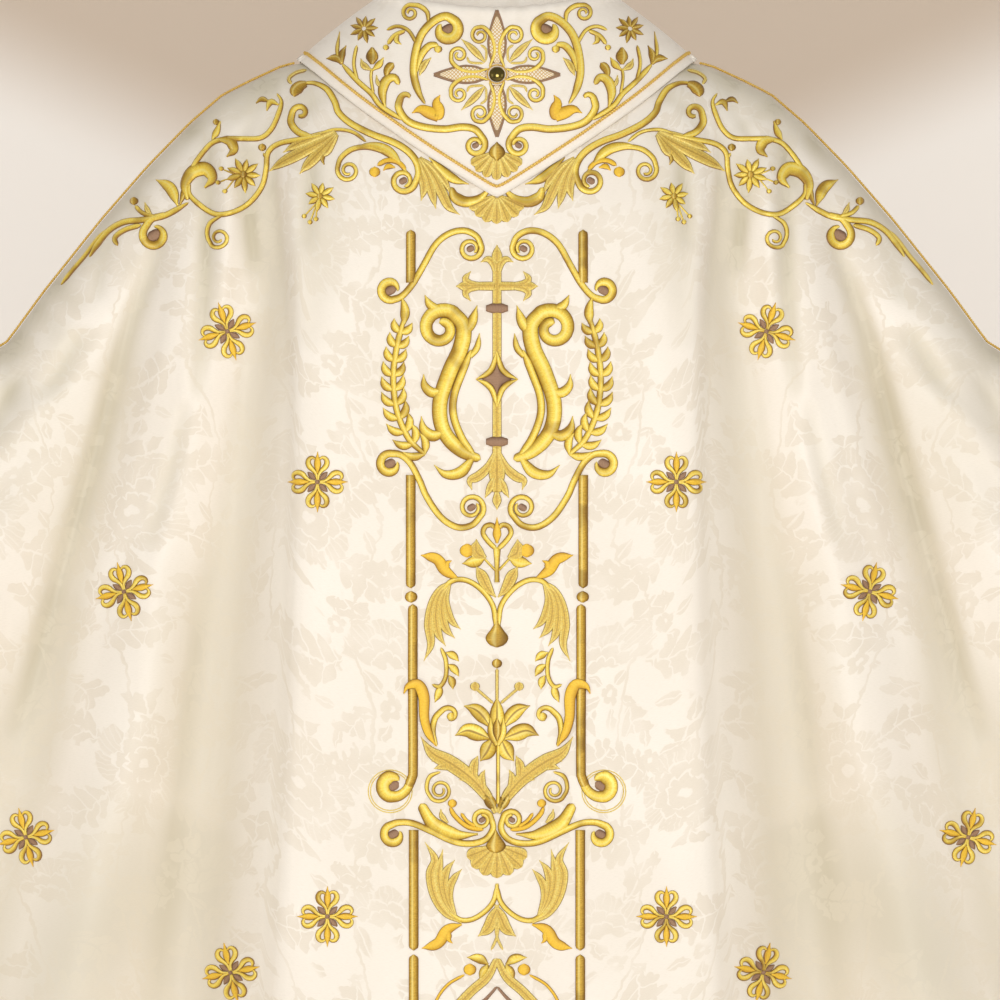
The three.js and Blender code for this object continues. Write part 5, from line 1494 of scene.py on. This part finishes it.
def beadTree(material):
    tree = bpy.data.node_groups.new("beadRing", "GeometryNodeTree")
    face = tree.interface
    face.new_socket("Line", in_out="INPUT", socket_type="NodeSocketGeometry")
    face.new_socket("Bead radius", in_out="INPUT",
                    socket_type="NodeSocketFloat").default_value = stoneCare["bead"] * mm
    face.new_socket("Beads", in_out="OUTPUT", socket_type="NodeSocketGeometry")
    link = tree.links.new
    start, end, bead, place, realize, smooth, finish = nodesOf(
        tree, "NodeGroupInput", "NodeGroupOutput", "GeometryNodeMeshIcoSphere",
        "GeometryNodeInstanceOnPoints", "GeometryNodeRealizeInstances", "GeometryNodeSetShadeSmooth",
        "GeometryNodeSetMaterial")
    bead.inputs["Subdivisions"].default_value = 3
    finish.inputs["Material"].default_value = material
    link(start.outputs["Line"], place.inputs["Points"])
    link(start.outputs["Bead radius"], bead.inputs["Radius"])
    link(bead.outputs["Mesh"], place.inputs["Instance"])
    link(place.outputs[0], realize.inputs[0])
    link(realize.outputs[0], smooth.inputs["Geometry"])
    link(smooth.outputs[0], finish.inputs["Geometry"])
    link(finish.outputs[0], end.inputs[0])
    return tree


beadMesh = bpy.data.meshes.new("stoneBeads")
beadSpots = []
for k in range(stoneCare["beads"]):
    a = 2 * math.pi * k / stoneCare["beads"]
    spot = Vector((stoneCare["ring"] * math.cos(a), stoneCare["ring"] * math.sin(a),
                   stoneCare["beadUp"])) * mm
    beadSpots.append((stoneHit + stoneTurn @ spot)[:])
beadMesh.from_pydata(beadSpots, [], [])
beads = placed("stoneBeads", beadMesh, smooth=False)
ringModifier = beads.modifiers.new("beads", "NODES")
ringModifier.node_group = beadTree(goldCordMaterial)
setInput(ringModifier, "Bead radius", stoneCare["bead"] * mm)
finishModifiers(beads)
print("stone set")

# Walls of the cloth
clothPieces = (frontCloth, backCloth, frontCollar, backCollar)
for obj in clothPieces:
    asShell(obj, clothCare["thickness"])
    obj.data.materials.clear()
    obj.data.materials.append(plainIvory if obj in (frontCollar, backCollar) else ivory)


# What each piece stands for, and what it rides on
def nodesNamed(*starts):
    return [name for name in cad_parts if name.startswith(starts)]


standsFor = {
    frontCloth: ["front_panel"], backCloth: ["back_panel"], frontCollar: ["collar_front"],
    backCollar: ["collar_back"],
    frontCord: ["collar_cord_front"], backCord: ["collar_cord_back"],
    piping["Left"]: ["shoulder_piping_left"], piping["Right"]: ["shoulder_piping_right"],
    stone: ["jewel"], beads: ["jewel_setting"],
    work["bandRails"]: nodesNamed("rail_"),
    work["bandScrolls"]: nodesNamed("scroll_", "arch_"),
    work["bandLeaves"]: ["band_drop", "band_shell"],
    work["bandCross"]: ["band_cross"], work["bandStar"]: ["band_star"], work["bandLily"]: ["band_lily"],
    work["bandLyre"]: ["lyre_left", "lyre_right"], work["bandLower"]: [], work["shoulderVines"]: [],
    work["collarWork"]: [], work["collarCross"]: nodesNamed("collar_arm_"),
    work["sprinkledFlowers"]: nodesNamed("flower_"),
}
for obj, nodes in standsFor.items():
    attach(obj, "root")
    if nodes:
        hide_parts(*nodes)

# Floor, backdrop, light and camera
viewCare = {"away": 10.0, "frame": 0.86, "centreX": 0.0026, "centreZ": -0.381, "plane": -0.13}
paperCare = {"low": (222, 205, 187), "high": (242, 236, 229), "glow": 0.17, "slope": 0.45, "turnZ": -0.144}
sweepCare = {"floorZ": -1.75, "backY": 1.6, "radius": 0.8, "frontY": -6.0, "topZ": 4.0, "half": 7.0,
             "steps": 11}


def paperMaterial():
    # painted light: paper that lightens upwards and outwards, as the light falls on it, and glows where it is
    # lighter
    m = Nodes("studioPaper")
    where = m.add("ShaderNodeSeparateXYZ", {0: m.add("ShaderNodeTexCoord").outputs["Object"]})
    across = m.math("ABSOLUTE", m.math("SUBTRACT", where.outputs[0], viewCare["centreX"]))
    level = m.math("SUBTRACT", m.math("MULTIPLY", across, paperCare["slope"]),
                   m.math("SUBTRACT", where.outputs[2], paperCare["turnZ"]))
    glow = m.ease(level, -0.06, 0.09)
    base = m.colour(glow, toLinear(paperCare["low"]), toLinear(paperCare["high"]))
    m.finish({"Base Color": base, "Emission Color": base, "Roughness": 0.95, "Specular IOR Level": 0.1,
              "Emission Strength": m.math("MULTIPLY", glow, paperCare["glow"])})
    m.material.cycles.emission_sampling = "NONE"        # the paper glows, but it isn't a lamp
    # a camera behind the paper looks through it
    behind = m.math("MULTIPLY", m.add("ShaderNodeNewGeometry").outputs["Backfacing"],
                    m.add("ShaderNodeLightPath").outputs["Is Camera Ray"])
    seen = m.add("ShaderNodeMixShader", {0: behind, 1: m.shader.outputs[0],
                                         2: m.add("ShaderNodeBsdfTransparent").outputs[0]})
    m.feed(m.tree.nodes["Material Output"].inputs["Surface"], seen.outputs[0])
    m.material.use_transparent_shadow = False
    return m.material


def stageSweep():
    mesh = bpy.data.meshes.new("studioSweep")
    c = sweepCare
    bends = np.linspace(0, math.pi / 2, c["steps"] + 1)[1:]
    profile = [(c["frontY"], c["floorZ"]), (c["backY"] - c["radius"], c["floorZ"])]
    profile += [(c["backY"] - c["radius"] * (1 - math.sin(a)),
                 c["floorZ"] + c["radius"] * (1 - math.cos(a))) for a in bends]
    profile += [(c["backY"], c["topZ"])]
    points = [(x, y, z) for y, z in profile for x in (-c["half"], c["half"])]
    faces = [(2 * k, 2 * k + 1, 2 * k + 3, 2 * k + 2) for k in range(len(profile) - 1)]
    mesh.from_pydata(points, [], faces)
    mesh.materials.append(paperMaterial())
    placed("studioSweep", mesh)


stageSweep()

lightCare = {  # place, aim, size, power, colour
    "keyLight": ((0.0, -4.1, 0.5), (0, 0, -0.5), 1.7, 78, (1.0, 0.992, 0.975)),
    "leftFill": ((-3.4, -2.4, 0.4), (0, 0.3, -0.4), 2.0, 14, (1.0, 0.995, 0.985)),
    "rightFill": ((3.4, -2.4, 0.4), (0, 0.3, -0.4), 2.0, 14, (1.0, 0.995, 0.985)),
}
worldCare = {"colour": (1.0, 0.993, 0.98, 1), "strength": 0.40}


def areaLight(name, place, aim, size, power, colour):
    data = bpy.data.lights.new(name, "AREA")
    data.shape, data.size, data.energy, data.color = "SQUARE", size, power, colour
    lamp = bpy.data.objects.new(name, data)
    lamp.location = place
    lamp.rotation_euler = (Vector(aim) - Vector(place)).to_track_quat("-Z", "Y").to_euler()
    bpy.context.scene.collection.objects.link(lamp)


for name, values in lightCare.items():
    areaLight(name, *values)
world = bpy.context.scene.world or bpy.data.worlds.new("studio")
bpy.context.scene.world = world
world.use_nodes = True
background = world.node_tree.nodes["Background"]
background.inputs["Color"].default_value = worldCare["colour"]
background.inputs["Strength"].default_value = worldCare["strength"]

cameraData = bpy.data.cameras.new("photoCamera")
cameraData.sensor_width = 36
cameraData.sensor_fit = "HORIZONTAL"
cameraData.lens = 36 * viewCare["away"] / viewCare["frame"]
cameraData.clip_end = 40
camera = bpy.data.objects.new("photoCamera", cameraData)
camera.location = (viewCare["centreX"], viewCare["plane"] - viewCare["away"], viewCare["centreZ"])
camera.rotation_euler = (math.pi / 2, 0, 0)
bpy.context.scene.collection.objects.link(camera)
bpy.context.scene.camera = camera
bpy.context.scene.view_settings.view_transform = "Standard"

bpy.context.view_layer.update()
print("done")
